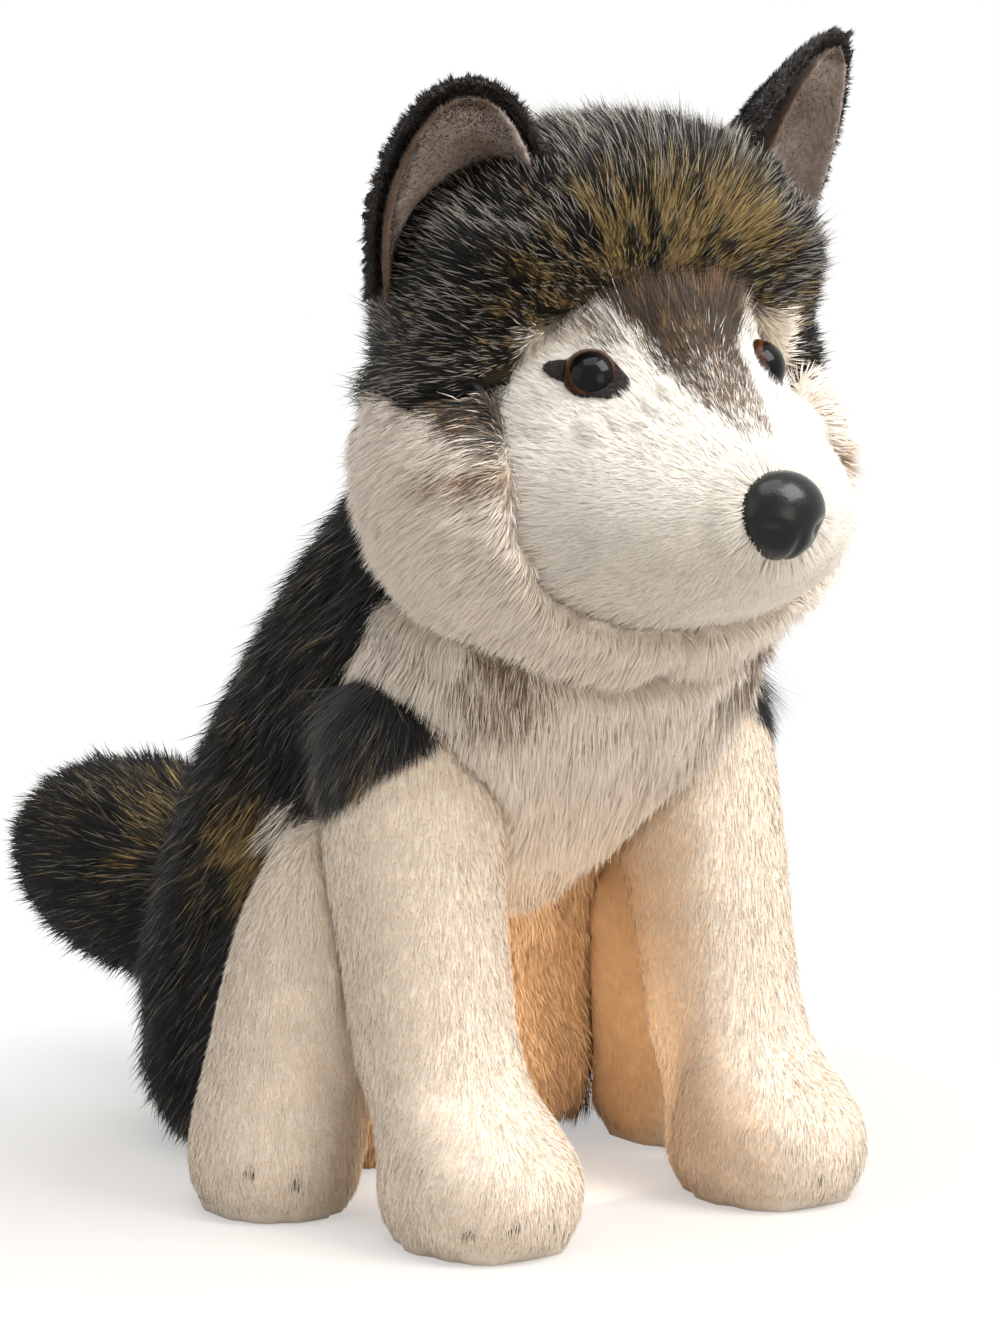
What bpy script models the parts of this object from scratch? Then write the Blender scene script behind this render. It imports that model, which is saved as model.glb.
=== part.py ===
"""Sitting plush wolf: stuffed body, head, legs and tail, safety eyes and a moulded nose.

Metres, +Z up. The wolf looks along -Y and the middle of its flat rump is at the origin.
Each soft piece is one closed solid of its stuffed shape, cut back from its neighbours by SEAM_GAP.
"""

import math

import bmesh
import bpy
from mathutils import Matrix, Vector
from mathutils.bvhtree import BVHTree

# Seams
SEAM_GAP = 0.0003

# Body
BODY_HEIGHT = 0.267
BODY_WIDTH = 0.164
BODY_REACH_FRONT = 0.084
BODY_REACH_BACK = 0.074
BODY_LEAN = 0.108

# Chest tuft
CHEST_BOTTOM_HEIGHT = 0.090
CHEST_TOP_HEIGHT = 0.226
CHEST_WIDTH = 0.146
CHEST_PROUD = 0.027
CHEST_AHEAD = 0.036
CHEST_ROUNDNESS = 2.7

# Head
HEAD_BOTTOM_HEIGHT = 0.216
HEAD_HEIGHT = 0.151
HEAD_WIDTH = 0.160
HEAD_REACH_FRONT = 0.037
HEAD_REACH_BACK = 0.078
HEAD_AHEAD_OF_NECK = 0.042

# Face and muzzle
FACE_DROP = 0.010
FACE_HEIGHT = 0.112
FACE_WIDTH = 0.132
MUZZLE_REACH = 0.083
MUZZLE_AHEAD = 0.006

# Cheek ruff
RUFF_THICKNESS = 0.040
RUFF_DEPTH = 0.080
RUFF_SPREAD = 0.065
RUFF_TOP_HEIGHT = 0.066
RUFF_CHIN_HEIGHT = -0.007

# Eyes and nose
EYE_DIAMETER = 0.0172
EYE_SPACING = 0.071
EYE_HEIGHT = 0.0727
EYE_PATCH_LENGTH = 0.031
EYE_PATCH_WIDTH = 0.021
EYE_PATCH_THICKNESS = 0.0030
EYE_DOME_HEIGHT = 0.0068
EYE_SET_BACK = 0.0008
NOSE_WIDTH = 0.032
NOSE_HEIGHT = 0.029
NOSE_LENGTH = 0.022
NOSE_RISE = 0.030

# Ears
EAR_HEIGHT_RIGHT = 0.042
EAR_HEIGHT_LEFT = 0.057
EAR_WIDTH = 0.055
EAR_CUP_DEPTH = 0.025
EAR_PILE_THICKNESS = 0.0050
EAR_LINING_THICKNESS = 0.0022
EAR_RIM = 0.0055
EAR_SPACING = 0.133
EAR_AHEAD = 0.004
EAR_OPENING_TURN = math.radians(24)
EAR_LEAN_OUT = math.radians(9)
EAR_LEAN_FORWARD = math.radians(20)
EAR_ROOT_DEPTH = 0.036

# Forelegs
FORELEG_HEIGHT = 0.200
FORELEG_WIDTH = 0.062
FORELEG_OUT = 0.009
FORELEG_AHEAD = 0.107
SHOULDER_IN = 0.016
FOREPAW_WIDTH = 0.068
FOREPAW_LENGTH = 0.078
FOREPAW_HEIGHT = 0.044
ANKLE_RISE = 1.25
FOREPAW_AHEAD = 0.047

# Hind legs
HIND_LEG_HEIGHT = 0.134
HIND_LEG_OUT = 0.006
HIND_LEG_AHEAD = 0.072
HIND_LEG_TOP_IN = 0.020
HIND_THIGH_WIDTH = 0.062
HIND_THIGH_DEPTH = 0.084
HIND_PAW_WIDTH = 0.064
HIND_PAW_LENGTH = 0.072
HIND_PAW_HEIGHT = 0.044
HIND_TOE_TURN = math.radians(28)

# Tail
TAIL_LENGTH = 0.164
TAIL_DIAMETER = 0.070
TAIL_ROOT_DIAMETER = 0.052
TAIL_ROOT_HEIGHT = 0.068
TAIL_TIP_HEIGHT = 0.080
TAIL_SWING = -0.012

BODY_SIDES = 26
LIMB_SIDES = 18
SMALL_SIDES = 18
SHARPEST_SHELL = 2.5
SIDES = {"right": -1, "left": 1}
EAR_HEIGHTS = {"right": EAR_HEIGHT_RIGHT, "left": EAR_HEIGHT_LEFT}


def clear_scene():
    for thing in list(bpy.context.scene.objects):
        bpy.data.objects.remove(thing, do_unlink=True)


def material(name, colour, roughness, metallic=0.0):
    """A Principled material in the colour of one fabric or plastic."""
    made = bpy.data.materials.get(name)
    if made is None:
        made = bpy.data.materials.new(name)
        made.use_nodes = True
        shader = made.node_tree.nodes["Principled BSDF"]
        shader.inputs["Base Color"].default_value = (*colour, 1.0)
        shader.inputs["Roughness"].default_value = roughness
        shader.inputs["Metallic"].default_value = metallic
        made.diffuse_color = (*colour, 1.0)
    return made


def dark_pile():
    return material("dark_pile", (0.022, 0.019, 0.016), 0.85)


def cream_pile():
    return material("cream_pile", (0.86, 0.72, 0.54), 0.9)


def white_pile():
    return material("white_pile", (0.88, 0.82, 0.72), 0.9)


def ear_velour():
    return material("ear_velour", (0.32, 0.25, 0.23), 0.9)


def black_suede():
    return material("black_suede", (0.02, 0.017, 0.015), 0.85)


def eye_plastic():
    return material("eye_plastic", (0.09, 0.035, 0.012), 0.08)


def nose_plastic():
    return material("nose_plastic", (0.012, 0.012, 0.014), 0.3)


def smooth_value(values, position):
    """Catmull-Rom reading of a row of equally spaced values at a position from 0 to 1."""
    spot = position * (len(values) - 1)
    index = min(int(spot), len(values) - 2)
    share = spot - index
    before = values[max(index - 1, 0)]
    start = values[index]
    end = values[index + 1]
    after = values[min(index + 2, len(values) - 1)]
    slope_in = (end - before) / 2
    slope_out = (after - start) / 2
    square = share * share
    cube = square * share
    return ((2 * cube - 3 * square + 1) * start + (cube - 2 * square + share) * slope_in
            + (3 * square - 2 * cube) * end + (cube - square) * slope_out)


def smooth_row(rows, position):
    """One row of numbers read smoothly from a table of rows."""
    return [smooth_value(column, position) for column in zip(*rows)]


def outline_point(angle, half_width, front, back, roundness):
    """A point of a level outline: half_width along X, front along -Y, back along +Y."""
    across = math.cos(angle)
    along = math.sin(angle)
    reach = front if along > 0 else back
    x = half_width * math.copysign(abs(across) ** (2 / roundness), across)
    y = -reach * math.copysign(abs(along) ** (2 / roundness), along)
    return Vector((x, y, 0))


def mesh_object(name, vertices, faces, finish):
    """A new object whose faces all point outwards."""
    mesh = bpy.data.meshes.new(name)
    shape = bmesh.new()
    corners = [shape.verts.new(point) for point in vertices]
    for face in faces:
        shape.faces.new([corners[index] for index in face])
    shape.normal_update()
    bmesh.ops.recalc_face_normals(shape, faces=shape.faces)
    bmesh.ops.triangulate(shape, faces=shape.faces)
    shape.to_mesh(mesh)
    shape.free()
    made = bpy.data.objects.new(name, mesh)
    bpy.context.scene.collection.objects.link(made)
    if finish is not None:
        mesh.materials.append(finish)
    mesh.shade_smooth()
    return made


def skin_of_rings(name, rings, finish):
    """A closed solid through a row of rings with equal counts, with a flat cap at each end."""
    sides = len(rings[0])
    vertices = [point for ring in rings for point in ring]
    faces = [list(range(sides))]
    for level in range(len(rings) - 1):
        for side in range(sides):
            here = level * sides + side
            beside = level * sides + (side + 1) % sides
            faces.append([here, beside, beside + sides, here + sides])
    last = (len(rings) - 1) * sides
    faces.append([last + side for side in range(sides)])
    return mesh_object(name, vertices, faces, finish)


def level_loft(name, stations, count, sides, finish, turn=0.0, about=(0.0, 0.0)):
    """A solid of level outlines.

    Each station is height, x, y, half width, front reach, back reach and roundness. The
    outlines turn by an angle about an upright line through the point about.
    """
    rings = []
    pivot = Vector((about[0], about[1], 0))
    spin = Matrix.Rotation(turn, 4, "Z")
    for level in range(count):
        height, x, y, half_width, front, back, roundness = smooth_row(stations, level / (count - 1))
        middle = Vector((x, y, height))
        ring = []
        for side in range(sides):
            angle = 2 * math.pi * side / sides
            point = middle + outline_point(angle, half_width, front, back, roundness)
            ring.append(pivot + spin @ (point - pivot))
        rings.append(ring)
    return skin_of_rings(name, rings, finish)


def swept_loft(name, stations, count, sides, finish, flat_axis, end=1.0):
    """A solid swept along a path. Each station is x, y, z, half thickness and half depth.

    The depth lies along flat_axis as nearly as the path lets it. The solid stops at the
    share of the path that end gives.
    """
    rings = []
    for level in range(count):
        position = end * level / (count - 1)
        x, y, z, thick, deep = smooth_row(stations, position)
        before = Vector(smooth_row(stations, max(position - 0.01, 0))[:3])
        after = Vector(smooth_row(stations, min(position + 0.01, 1))[:3])
        tangent = (after - before).normalized()
        depth_axis = (flat_axis - tangent * flat_axis.dot(tangent)).normalized()
        thick_axis = tangent.cross(depth_axis)
        ring = []
        for side in range(sides):
            angle = 2 * math.pi * side / sides
            offset = thick_axis * (thick * math.cos(angle)) + depth_axis * (deep * math.sin(angle))
            ring.append(Vector((x, y, z)) + offset)
        rings.append(ring)
    return skin_of_rings(name, rings, finish)


def ellipsoid(name, centre, radii, turn, finish, sides=SMALL_SIDES, rings=12):
    """A ball with three radii, turned by a matrix and moved to its centre."""
    mesh = bpy.data.meshes.new(name)
    shape = bmesh.new()
    bmesh.ops.create_uvsphere(shape, u_segments=sides, v_segments=rings, radius=1)
    for corner in shape.verts:
        local = Vector((corner.co.x * radii[0], corner.co.y * radii[1], corner.co.z * radii[2]))
        corner.co = centre + turn @ local
    shape.normal_update()
    bmesh.ops.recalc_face_normals(shape, faces=shape.faces)
    shape.to_mesh(mesh)
    shape.free()
    made = bpy.data.objects.new(name, mesh)
    bpy.context.scene.collection.objects.link(made)
    mesh.materials.append(finish)
    mesh.shade_smooth()
    return made


def grown_copy(solid):
    """A hidden cutter: the solid's whole form, larger by the seam gap all round."""
    cutter = bpy.data.objects.new(solid.name + "_clearance", solid.data.copy())
    bpy.context.scene.collection.objects.link(cutter)
    shape = bmesh.new()
    shape.from_mesh(solid.data)
    shape.normal_update()
    moves = [corner.normal * (SEAM_GAP * min(corner.calc_shell_factor(), SHARPEST_SHELL))
             for corner in shape.verts]
    for corner, move in zip(shape.verts, moves):
        corner.co += move
    shape.to_mesh(cutter.data)
    shape.free()
    cutter.hide_render = True
    cutter.display_type = "WIRE"
    return cutter


def keep_largest(mesh):
    """Delete all but the largest closed shell of a mesh."""
    shape = bmesh.new()
    shape.from_mesh(mesh)
    bmesh.ops.remove_doubles(shape, verts=shape.verts, dist=0.00001)
    bmesh.ops.dissolve_degenerate(shape, edges=shape.edges, dist=0.00001)
    waiting = set(shape.faces)
    shells = []
    while waiting:
        front = [waiting.pop()]
        shell = list(front)
        while front:
            face = front.pop()
            for edge in face.edges:
                for beside in edge.link_faces:
                    if beside in waiting:
                        waiting.remove(beside)
                        front.append(beside)
                        shell.append(beside)
        shells.append(shell)
    shells.sort(key=lambda shell: sum(face.calc_area() for face in shell))
    for shell in shells[:-1]:
        bmesh.ops.delete(shape, geom=shell, context="FACES")
    loose = [corner for corner in shape.verts if not corner.link_faces]
    bmesh.ops.delete(shape, geom=loose, context="VERTS")
    shape.to_mesh(mesh)
    shape.free()


def carve(solid, *cutters):
    """Cut the neighbours' room out of a solid, so that it seats against them."""
    for cutter in cutters:
        cut = solid.modifiers.new("seat_on_" + cutter.name, "BOOLEAN")
        cut.operation = "DIFFERENCE"
        cut.solver = "EXACT"
        cut.object = cutter
    graph = bpy.context.evaluated_depsgraph_get()
    graph.update()
    carved = bpy.data.meshes.new_from_object(solid.evaluated_get(graph))
    solid.modifiers.clear()
    keep_largest(carved)
    solid.data = carved
    carved.shade_smooth()


def surface_tree(solid):
    return BVHTree.FromPolygons([corner.co for corner in solid.data.vertices],
                                [list(face.vertices) for face in solid.data.polygons])


def touch_point(tree, start, direction):
    """The point and outward normal where a line from outside first meets a surface."""
    point, normal, _, _ = tree.ray_cast(start, direction)
    if point is None:
        raise ValueError("the line misses the surface that it should meet")
    return point, normal


# The trunk of the animal

def body_stations():
    """Height, lean, half width, front and back reach, as shares of the body's sizes."""
    shares = (
        (0.000, 0.00, 0.76, 0.70, 0.78, 2.1),
        (0.025, 0.00, 0.90, 0.84, 0.92, 2.1),
        (0.095, 0.00, 1.01, 0.89, 1.02, 2.1),
        (0.210, 0.02, 1.03, 0.89, 1.04, 2.1),
        (0.345, 0.08, 1.00, 0.89, 1.03, 2.1),
        (0.475, 0.21, 0.96, 0.94, 1.02, 2.1),
        (0.590, 0.39, 0.93, 1.00, 1.00, 2.1),
        (0.690, 0.56, 0.90, 0.99, 0.96, 2.1),
        (0.785, 0.71, 0.83, 0.91, 0.90, 2.1),
        (0.875, 0.84, 0.75, 0.77, 0.82, 2.0),
        (0.950, 0.94, 0.60, 0.60, 0.66, 2.0),
        (0.990, 0.99, 0.34, 0.34, 0.36, 2.0),
        (1.000, 1.00, 0.14, 0.14, 0.14, 2.0),
    )
    return [(BODY_HEIGHT * height, 0.0, -BODY_LEAN * lean, BODY_WIDTH / 2 * wide,
             BODY_REACH_FRONT * front, BODY_REACH_BACK * back, roundness)
            for height, lean, wide, front, back, roundness in shares]


def make_body():
    return level_loft("body", body_stations(), 19, BODY_SIDES, dark_pile())


def body_level(height):
    """The body's outline sizes at a height: y of its middle, half width and front reach."""
    stations = body_stations()
    low, high = 0.0, 1.0
    for _ in range(30):
        middle = (low + high) / 2
        if smooth_row(stations, middle)[0] < height:
            low = middle
        else:
            high = middle
    row = smooth_row(stations, low)
    return row[2], row[3], row[4]


def make_chest():
    """The long tuft of the chest, a rounded bib that narrows to its tip."""
    rows = (
        (0.00, 0.12, -0.30),
        (0.07, 0.36, 0.15),
        (0.20, 0.62, 0.70),
        (0.38, 0.84, 1.00),
        (0.58, 0.98, 1.05),
        (0.78, 1.00, 0.92),
        (0.92, 0.90, 0.60),
        (1.00, 0.62, 0.00),
    )
    stations = []
    for share, wide, proud in rows:
        height = CHEST_BOTTOM_HEIGHT + (CHEST_TOP_HEIGHT - CHEST_BOTTOM_HEIGHT) * share
        y, _, front = body_level(height)
        reach = front + CHEST_PROUD * proud - CHEST_AHEAD
        stations.append((height, 0.0, y - CHEST_AHEAD, CHEST_WIDTH / 2 * wide, reach,
                         CHEST_AHEAD * 0.5, CHEST_ROUNDNESS))
    return level_loft("chest_tuft", stations, 14, BODY_SIDES, cream_pile())


# The head

def head_middle():
    """X and Y of the upright line through the middle of the head."""
    return 0.0, -(BODY_LEAN + HEAD_AHEAD_OF_NECK)


def head_height(share):
    return HEAD_BOTTOM_HEIGHT + HEAD_HEIGHT * share


def make_head():
    rows = (
        (0.000, 0.20, 0.20, 0.22),
        (0.020, 0.44, 0.40, 0.48),
        (0.085, 0.72, 0.50, 0.78),
        (0.230, 0.94, 0.54, 0.96),
        (0.400, 1.00, 0.54, 1.00),
        (0.580, 1.01, 0.66, 1.00),
        (0.730, 0.97, 0.98, 0.95),
        (0.850, 0.84, 0.98, 0.82),
        (0.940, 0.62, 0.78, 0.60),
        (0.985, 0.36, 0.48, 0.36),
        (1.000, 0.13, 0.18, 0.13),
    )
    x, y = head_middle()
    stations = [(head_height(share), x, y, HEAD_WIDTH / 2 * wide, HEAD_REACH_FRONT * front,
                 HEAD_REACH_BACK * back, 2.15) for share, wide, front, back in rows]
    return level_loft("head", stations, 17, BODY_SIDES, dark_pile())


def make_face():
    """The mask and muzzle, broad and blunt below and narrow at the brow."""
    rows = (
        (0.000, 0.30, 0.34, 2.1),
        (0.030, 0.56, 0.60, 2.2),
        (0.110, 0.82, 0.83, 2.3),
        (0.230, 0.96, 0.96, 2.3),
        (0.370, 1.00, 1.00, 2.1),
        (0.500, 0.98, 0.95, 1.75),
        (0.630, 0.93, 0.80, 1.34),
        (0.750, 0.87, 0.61, 1.14),
        (0.860, 0.76, 0.50, 1.24),
        (0.950, 0.54, 0.42, 1.6),
        (1.000, 0.24, 0.24, 2.0),
    )
    x, y = head_middle()
    bottom = HEAD_BOTTOM_HEIGHT - FACE_DROP
    stations = [(bottom + FACE_HEIGHT * share, x, y - MUZZLE_AHEAD, FACE_WIDTH / 2 * wide,
                 MUZZLE_REACH * reach, HEAD_REACH_FRONT * 0.5, roundness)
                for share, wide, reach, roundness in rows]
    return level_loft("face", stations, 16, BODY_SIDES, white_pile())


def make_ruff(side_name):
    """One cheek's long pile, from the temple down round the jaw to the middle of the chin."""
    side = SIDES[side_name]
    x, y = head_middle()
    thick = RUFF_THICKNESS / 2
    deep = RUFF_DEPTH / 2
    spread = RUFF_SPREAD
    top = HEAD_BOTTOM_HEIGHT + RUFF_TOP_HEIGHT
    chin = HEAD_BOTTOM_HEIGHT + RUFF_CHIN_HEIGHT
    drop = top - chin
    rows = (
        (0.96, 0.016, top + 0.010, 0.30, 0.40),
        (1.00, 0.014, top, 0.75, 0.72),
        (1.03, 0.010, top - 0.32 * drop, 1.15, 0.98),
        (0.92, 0.004, top - 0.66 * drop, 1.20, 1.00),
        (0.64, -0.004, top - 0.90 * drop, 1.05, 0.92),
        (0.30, -0.010, chin - 0.02 * drop, 0.98, 0.86),
        (0.0, -0.012, chin - 0.04 * drop, 0.95, 0.84),
    )
    stations = [(side * spread * out, y + back, height, thick * fat, deep * long)
                for out, back, height, fat, long in rows]
    stations += [(-row[0], *row[1:]) for row in reversed(stations[:-1])]
    ruff = swept_loft("cheek_ruff_" + side_name, stations, 17, LIMB_SIDES, cream_pile(),
                      Vector((0, 1, 0)), 0.5)
    for corner in ruff.data.vertices:
        corner.co.x += side * SEAM_GAP / 2
    return ruff


def eye_place(side, face_tree):
    """Where an eye's middle meets the face, and the way it looks."""
    height = HEAD_BOTTOM_HEIGHT + EYE_HEIGHT
    start = Vector((side * EYE_SPACING / 2, -1.0, height))
    point, normal = touch_point(face_tree, start, Vector((0, 1, 0)))
    return point, normal


def facing(normal):
    """A turn whose Z axis looks along a normal and whose X axis stays level."""
    level = Vector((0, 0, 1)).cross(normal).normalized()
    upright = normal.cross(level)
    return Matrix((level, upright, normal)).transposed()


def make_eye_patch(side_name, face_tree):
    point, normal = eye_place(SIDES[side_name], face_tree)
    turn = facing(normal) @ Matrix.Rotation(SIDES[side_name] * math.radians(12), 3, "Z")
    radii = (EYE_PATCH_LENGTH / 2, EYE_PATCH_WIDTH / 2, EYE_PATCH_THICKNESS)
    return ellipsoid("eye_patch_" + side_name, point - normal * (EYE_PATCH_THICKNESS * 0.35),
                     radii, turn, black_suede(), 20, 8)


def make_eye(side_name, face_tree):
    point, normal = eye_place(SIDES[side_name], face_tree)
    radius = EYE_DIAMETER / 2
    return ellipsoid("eye_" + side_name, point - normal * EYE_SET_BACK,
                     (radius, radius, EYE_DOME_HEIGHT), facing(normal), eye_plastic(), 20, 12)


def make_nose(face_tree):
    height = HEAD_BOTTOM_HEIGHT + NOSE_RISE
    point, _ = touch_point(face_tree, Vector((0.0, -1.0, height)), Vector((0, 1, 0)))
    radii = (NOSE_WIDTH / 2, NOSE_LENGTH / 2, NOSE_HEIGHT / 2)
    return ellipsoid("nose", point, radii, Matrix.Identity(3), nose_plastic(), 22, 14)


def ear_frame(side, head_tree):
    """Root point on the crown, and the ear's across, up and opening directions."""
    x, y = head_middle()
    start = Vector((side * EAR_SPACING / 2, y - EAR_AHEAD, 1.0))
    root, _ = touch_point(head_tree, start, Vector((0, 0, -1)))
    opening = Vector((side * math.sin(EAR_OPENING_TURN), -math.cos(EAR_OPENING_TURN), 0))
    up = Vector((side * math.sin(EAR_LEAN_OUT), -math.sin(EAR_LEAN_FORWARD), 1)).normalized()
    across = up.cross(opening).normalized()
    opening = across.cross(up).normalized()
    return root, across, up, opening


def ear_point(frame, across_share, up_share, width, height, set_back):
    """A point of the cupped ear sheet; set_back moves it behind the sheet."""
    root, across, up, opening = frame
    half = width / 2 * ear_half_width(up_share)
    bend = math.radians(74)
    angle = across_share * bend
    side_step = half * math.sin(angle) / math.sin(bend)
    cup = (math.cos(angle) - math.cos(bend)) / (1 - math.cos(bend))
    depth = EAR_CUP_DEPTH * cup * (1 - up_share ** 2) ** 0.7 + set_back * math.cos(angle)
    side_step += set_back * math.sin(angle)
    rise = -EAR_ROOT_DEPTH + (height + EAR_ROOT_DEPTH) * up_share
    return root + across * side_step + up * rise - opening * depth


def ear_half_width(up_share):
    """Share of the half width at a height share: drawn in at the root, round at the tip."""
    root = 0.94 + 0.10 * math.sin(math.pi * min(up_share * 1.15, 1.0))
    return root * max(1 - up_share ** 3.2, 0.0) ** 0.5 + 0.015


def ear_shell(name, frame, full_height, inner, outer, rim, finish):
    """A closed cupped shell between two set-backs, drawn in from the ear's edge by rim."""
    columns = 11
    levels = 9
    width = EAR_WIDTH - 2 * rim
    height = full_height - rim
    vertices = []
    for set_back in (inner, outer):
        for level in range(levels):
            rise = math.sin(math.pi / 2 * level / (levels - 1))
            for column in range(columns):
                across_share = -1 + 2 * column / (columns - 1)
                vertices.append(ear_point(frame, across_share, rise, width, height, set_back))
    sheet = columns * levels
    faces = []
    for level in range(levels - 1):
        for column in range(columns - 1):
            corner = level * columns + column
            quad = [corner, corner + 1, corner + 1 + columns, corner + columns]
            faces.append(quad)
            faces.append([index + sheet for index in reversed(quad)])
    edge = [column for column in range(columns)]
    edge += [level * columns + columns - 1 for level in range(1, levels)]
    edge += [(levels - 1) * columns + column for column in range(columns - 2, -1, -1)]
    edge += [level * columns for level in range(levels - 2, 0, -1)]
    for index, corner in enumerate(edge):
        beside = edge[(index + 1) % len(edge)]
        faces.append([corner, beside, beside + sheet, corner + sheet])
    return mesh_object(name, vertices, faces, finish)


def make_ear(side_name, head_tree):
    """The furred back of one ear and the velour lining that sits in it."""
    frame = ear_frame(SIDES[side_name], head_tree)
    height = EAR_HEIGHTS[side_name]
    back = ear_shell("ear_back_" + side_name, frame, height, 0.0, EAR_PILE_THICKNESS, 0.0,
                     dark_pile())
    lining = ear_shell("ear_lining_" + side_name, frame, height,
                       -EAR_LINING_THICKNESS - SEAM_GAP, -SEAM_GAP, EAR_RIM, ear_velour())
    return back, lining


# The legs and the tail

def make_foreleg(side_name):
    """A straight foreleg whose shoulder leans into the body, on a paw with a flat sole."""
    side = SIDES[side_name]
    x = BODY_WIDTH / 2 + FORELEG_OUT - FORELEG_WIDTH / 2
    leg = FORELEG_WIDTH / 2
    paw_wide = FOREPAW_WIDTH / 2
    paw_long = FOREPAW_LENGTH / 2
    ankle = FOREPAW_HEIGHT * ANKLE_RISE
    shank = FORELEG_HEIGHT - ankle
    rows = (
        (0.0, 1.00, 0.0, paw_wide * 0.78, paw_long * 0.78),
        (FOREPAW_HEIGHT * 0.10, 1.00, 0.0, paw_wide * 0.92, paw_long * 0.92),
        (FOREPAW_HEIGHT * 0.36, 1.00, 0.0, paw_wide, paw_long),
        (FOREPAW_HEIGHT * 0.66, 0.98, 0.0, paw_wide * 0.97, paw_long * 0.97),
        (FOREPAW_HEIGHT * 0.94, 0.78, 0.0, leg * 0.98, leg * 1.10),
        (ankle, 0.52, 0.0, leg * 0.93, leg * 0.95),
        (ankle + 0.22 * shank, 0.36, 0.0, leg * 0.93, leg * 0.93),
        (ankle + 0.48 * shank, 0.18, 0.04, leg, leg),
        (ankle + 0.70 * shank, 0.06, 0.22, leg * 1.02, leg * 1.03),
        (ankle + 0.86 * shank, 0.01, 0.52, leg * 0.94, leg * 0.98),
        (ankle + 0.96 * shank, 0.0, 0.84, leg * 0.70, leg * 0.76),
        (FORELEG_HEIGHT, 0.0, 1.00, leg * 0.30, leg * 0.34),
    )
    stations = [(height, side * (x - SHOULDER_IN * inward), -FORELEG_AHEAD - FOREPAW_AHEAD * ahead,
                 wide, deep, deep, 2.15) for height, ahead, inward, wide, deep in rows]
    return level_loft("foreleg_" + side_name, stations, 19, LIMB_SIDES, cream_pile())


def make_hind_leg(side_name):
    """The folded hind leg: a broad thigh against the body, on a foot whose toes turn out."""
    side = SIDES[side_name]
    x = BODY_WIDTH / 2 + HIND_LEG_OUT
    foot_wide = HIND_PAW_WIDTH / 2
    foot_long = HIND_PAW_LENGTH / 2
    thigh_wide = HIND_THIGH_WIDTH / 2
    thigh_deep = HIND_THIGH_DEPTH / 2
    rise = HIND_LEG_HEIGHT - HIND_PAW_HEIGHT
    rows = (
        (0.0, 0.0, foot_wide * 0.80, foot_long * 0.80, foot_long * 0.80),
        (HIND_PAW_HEIGHT * 0.10, 0.0, foot_wide * 0.92, foot_long * 0.92, foot_long * 0.92),
        (HIND_PAW_HEIGHT * 0.40, 0.0, foot_wide, foot_long, foot_long),
        (HIND_PAW_HEIGHT * 0.80, 0.15, foot_wide, foot_long * 0.94, foot_long),
        (HIND_PAW_HEIGHT + 0.10 * rise, 0.35, foot_wide * 0.98, foot_long * 0.88, thigh_deep),
        (HIND_PAW_HEIGHT + 0.36 * rise, 0.60, thigh_wide, thigh_deep * 0.76, thigh_deep * 1.05),
        (HIND_PAW_HEIGHT + 0.62 * rise, 0.82, thigh_wide * 0.92, thigh_deep * 0.68, thigh_deep),
        (HIND_PAW_HEIGHT + 0.84 * rise, 1.0, thigh_wide * 0.72, thigh_deep * 0.54,
         thigh_deep * 0.78),
        (HIND_PAW_HEIGHT + 0.96 * rise, 1.0, thigh_wide * 0.42, thigh_deep * 0.32,
         thigh_deep * 0.44),
        (HIND_LEG_HEIGHT, 1.0, thigh_wide * 0.15, thigh_deep * 0.12, thigh_deep * 0.16),
    )
    stations = [(height, side * (x - HIND_LEG_TOP_IN * inward), -HIND_LEG_AHEAD, wide, front,
                 back, 2.15) for height, inward, wide, front, back in rows]
    return level_loft("hind_leg_" + side_name, stations, 16, LIMB_SIDES, cream_pile(),
                      side * HIND_TOE_TURN, (side * x, -HIND_LEG_AHEAD))


def make_tail():
    """The tail, sewn low on the back and held out level behind."""
    root = -BODY_REACH_BACK * 0.75
    rows = (
        (0.00, 0.0, 0.50),
        (0.16, 0.0, 0.85),
        (0.38, 0.2, 1.06),
        (0.62, 0.5, 1.10),
        (0.82, 0.8, 1.00),
        (0.95, 1.0, 0.72),
        (1.00, 1.0, 0.30),
    )
    length = TAIL_LENGTH - root - BODY_REACH_BACK
    stations = []
    for share, drift, fat in rows:
        radius = TAIL_DIAMETER / 2 * fat if share > 0 else TAIL_ROOT_DIAMETER / 2
        height = TAIL_ROOT_HEIGHT + (TAIL_TIP_HEIGHT - TAIL_ROOT_HEIGHT) * share
        stations.append((TAIL_SWING * drift, -root + length * share, height, radius, radius))
    return swept_loft("tail", stations, 16, LIMB_SIDES, dark_pile(), Vector((0, 0, 1)))


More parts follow.
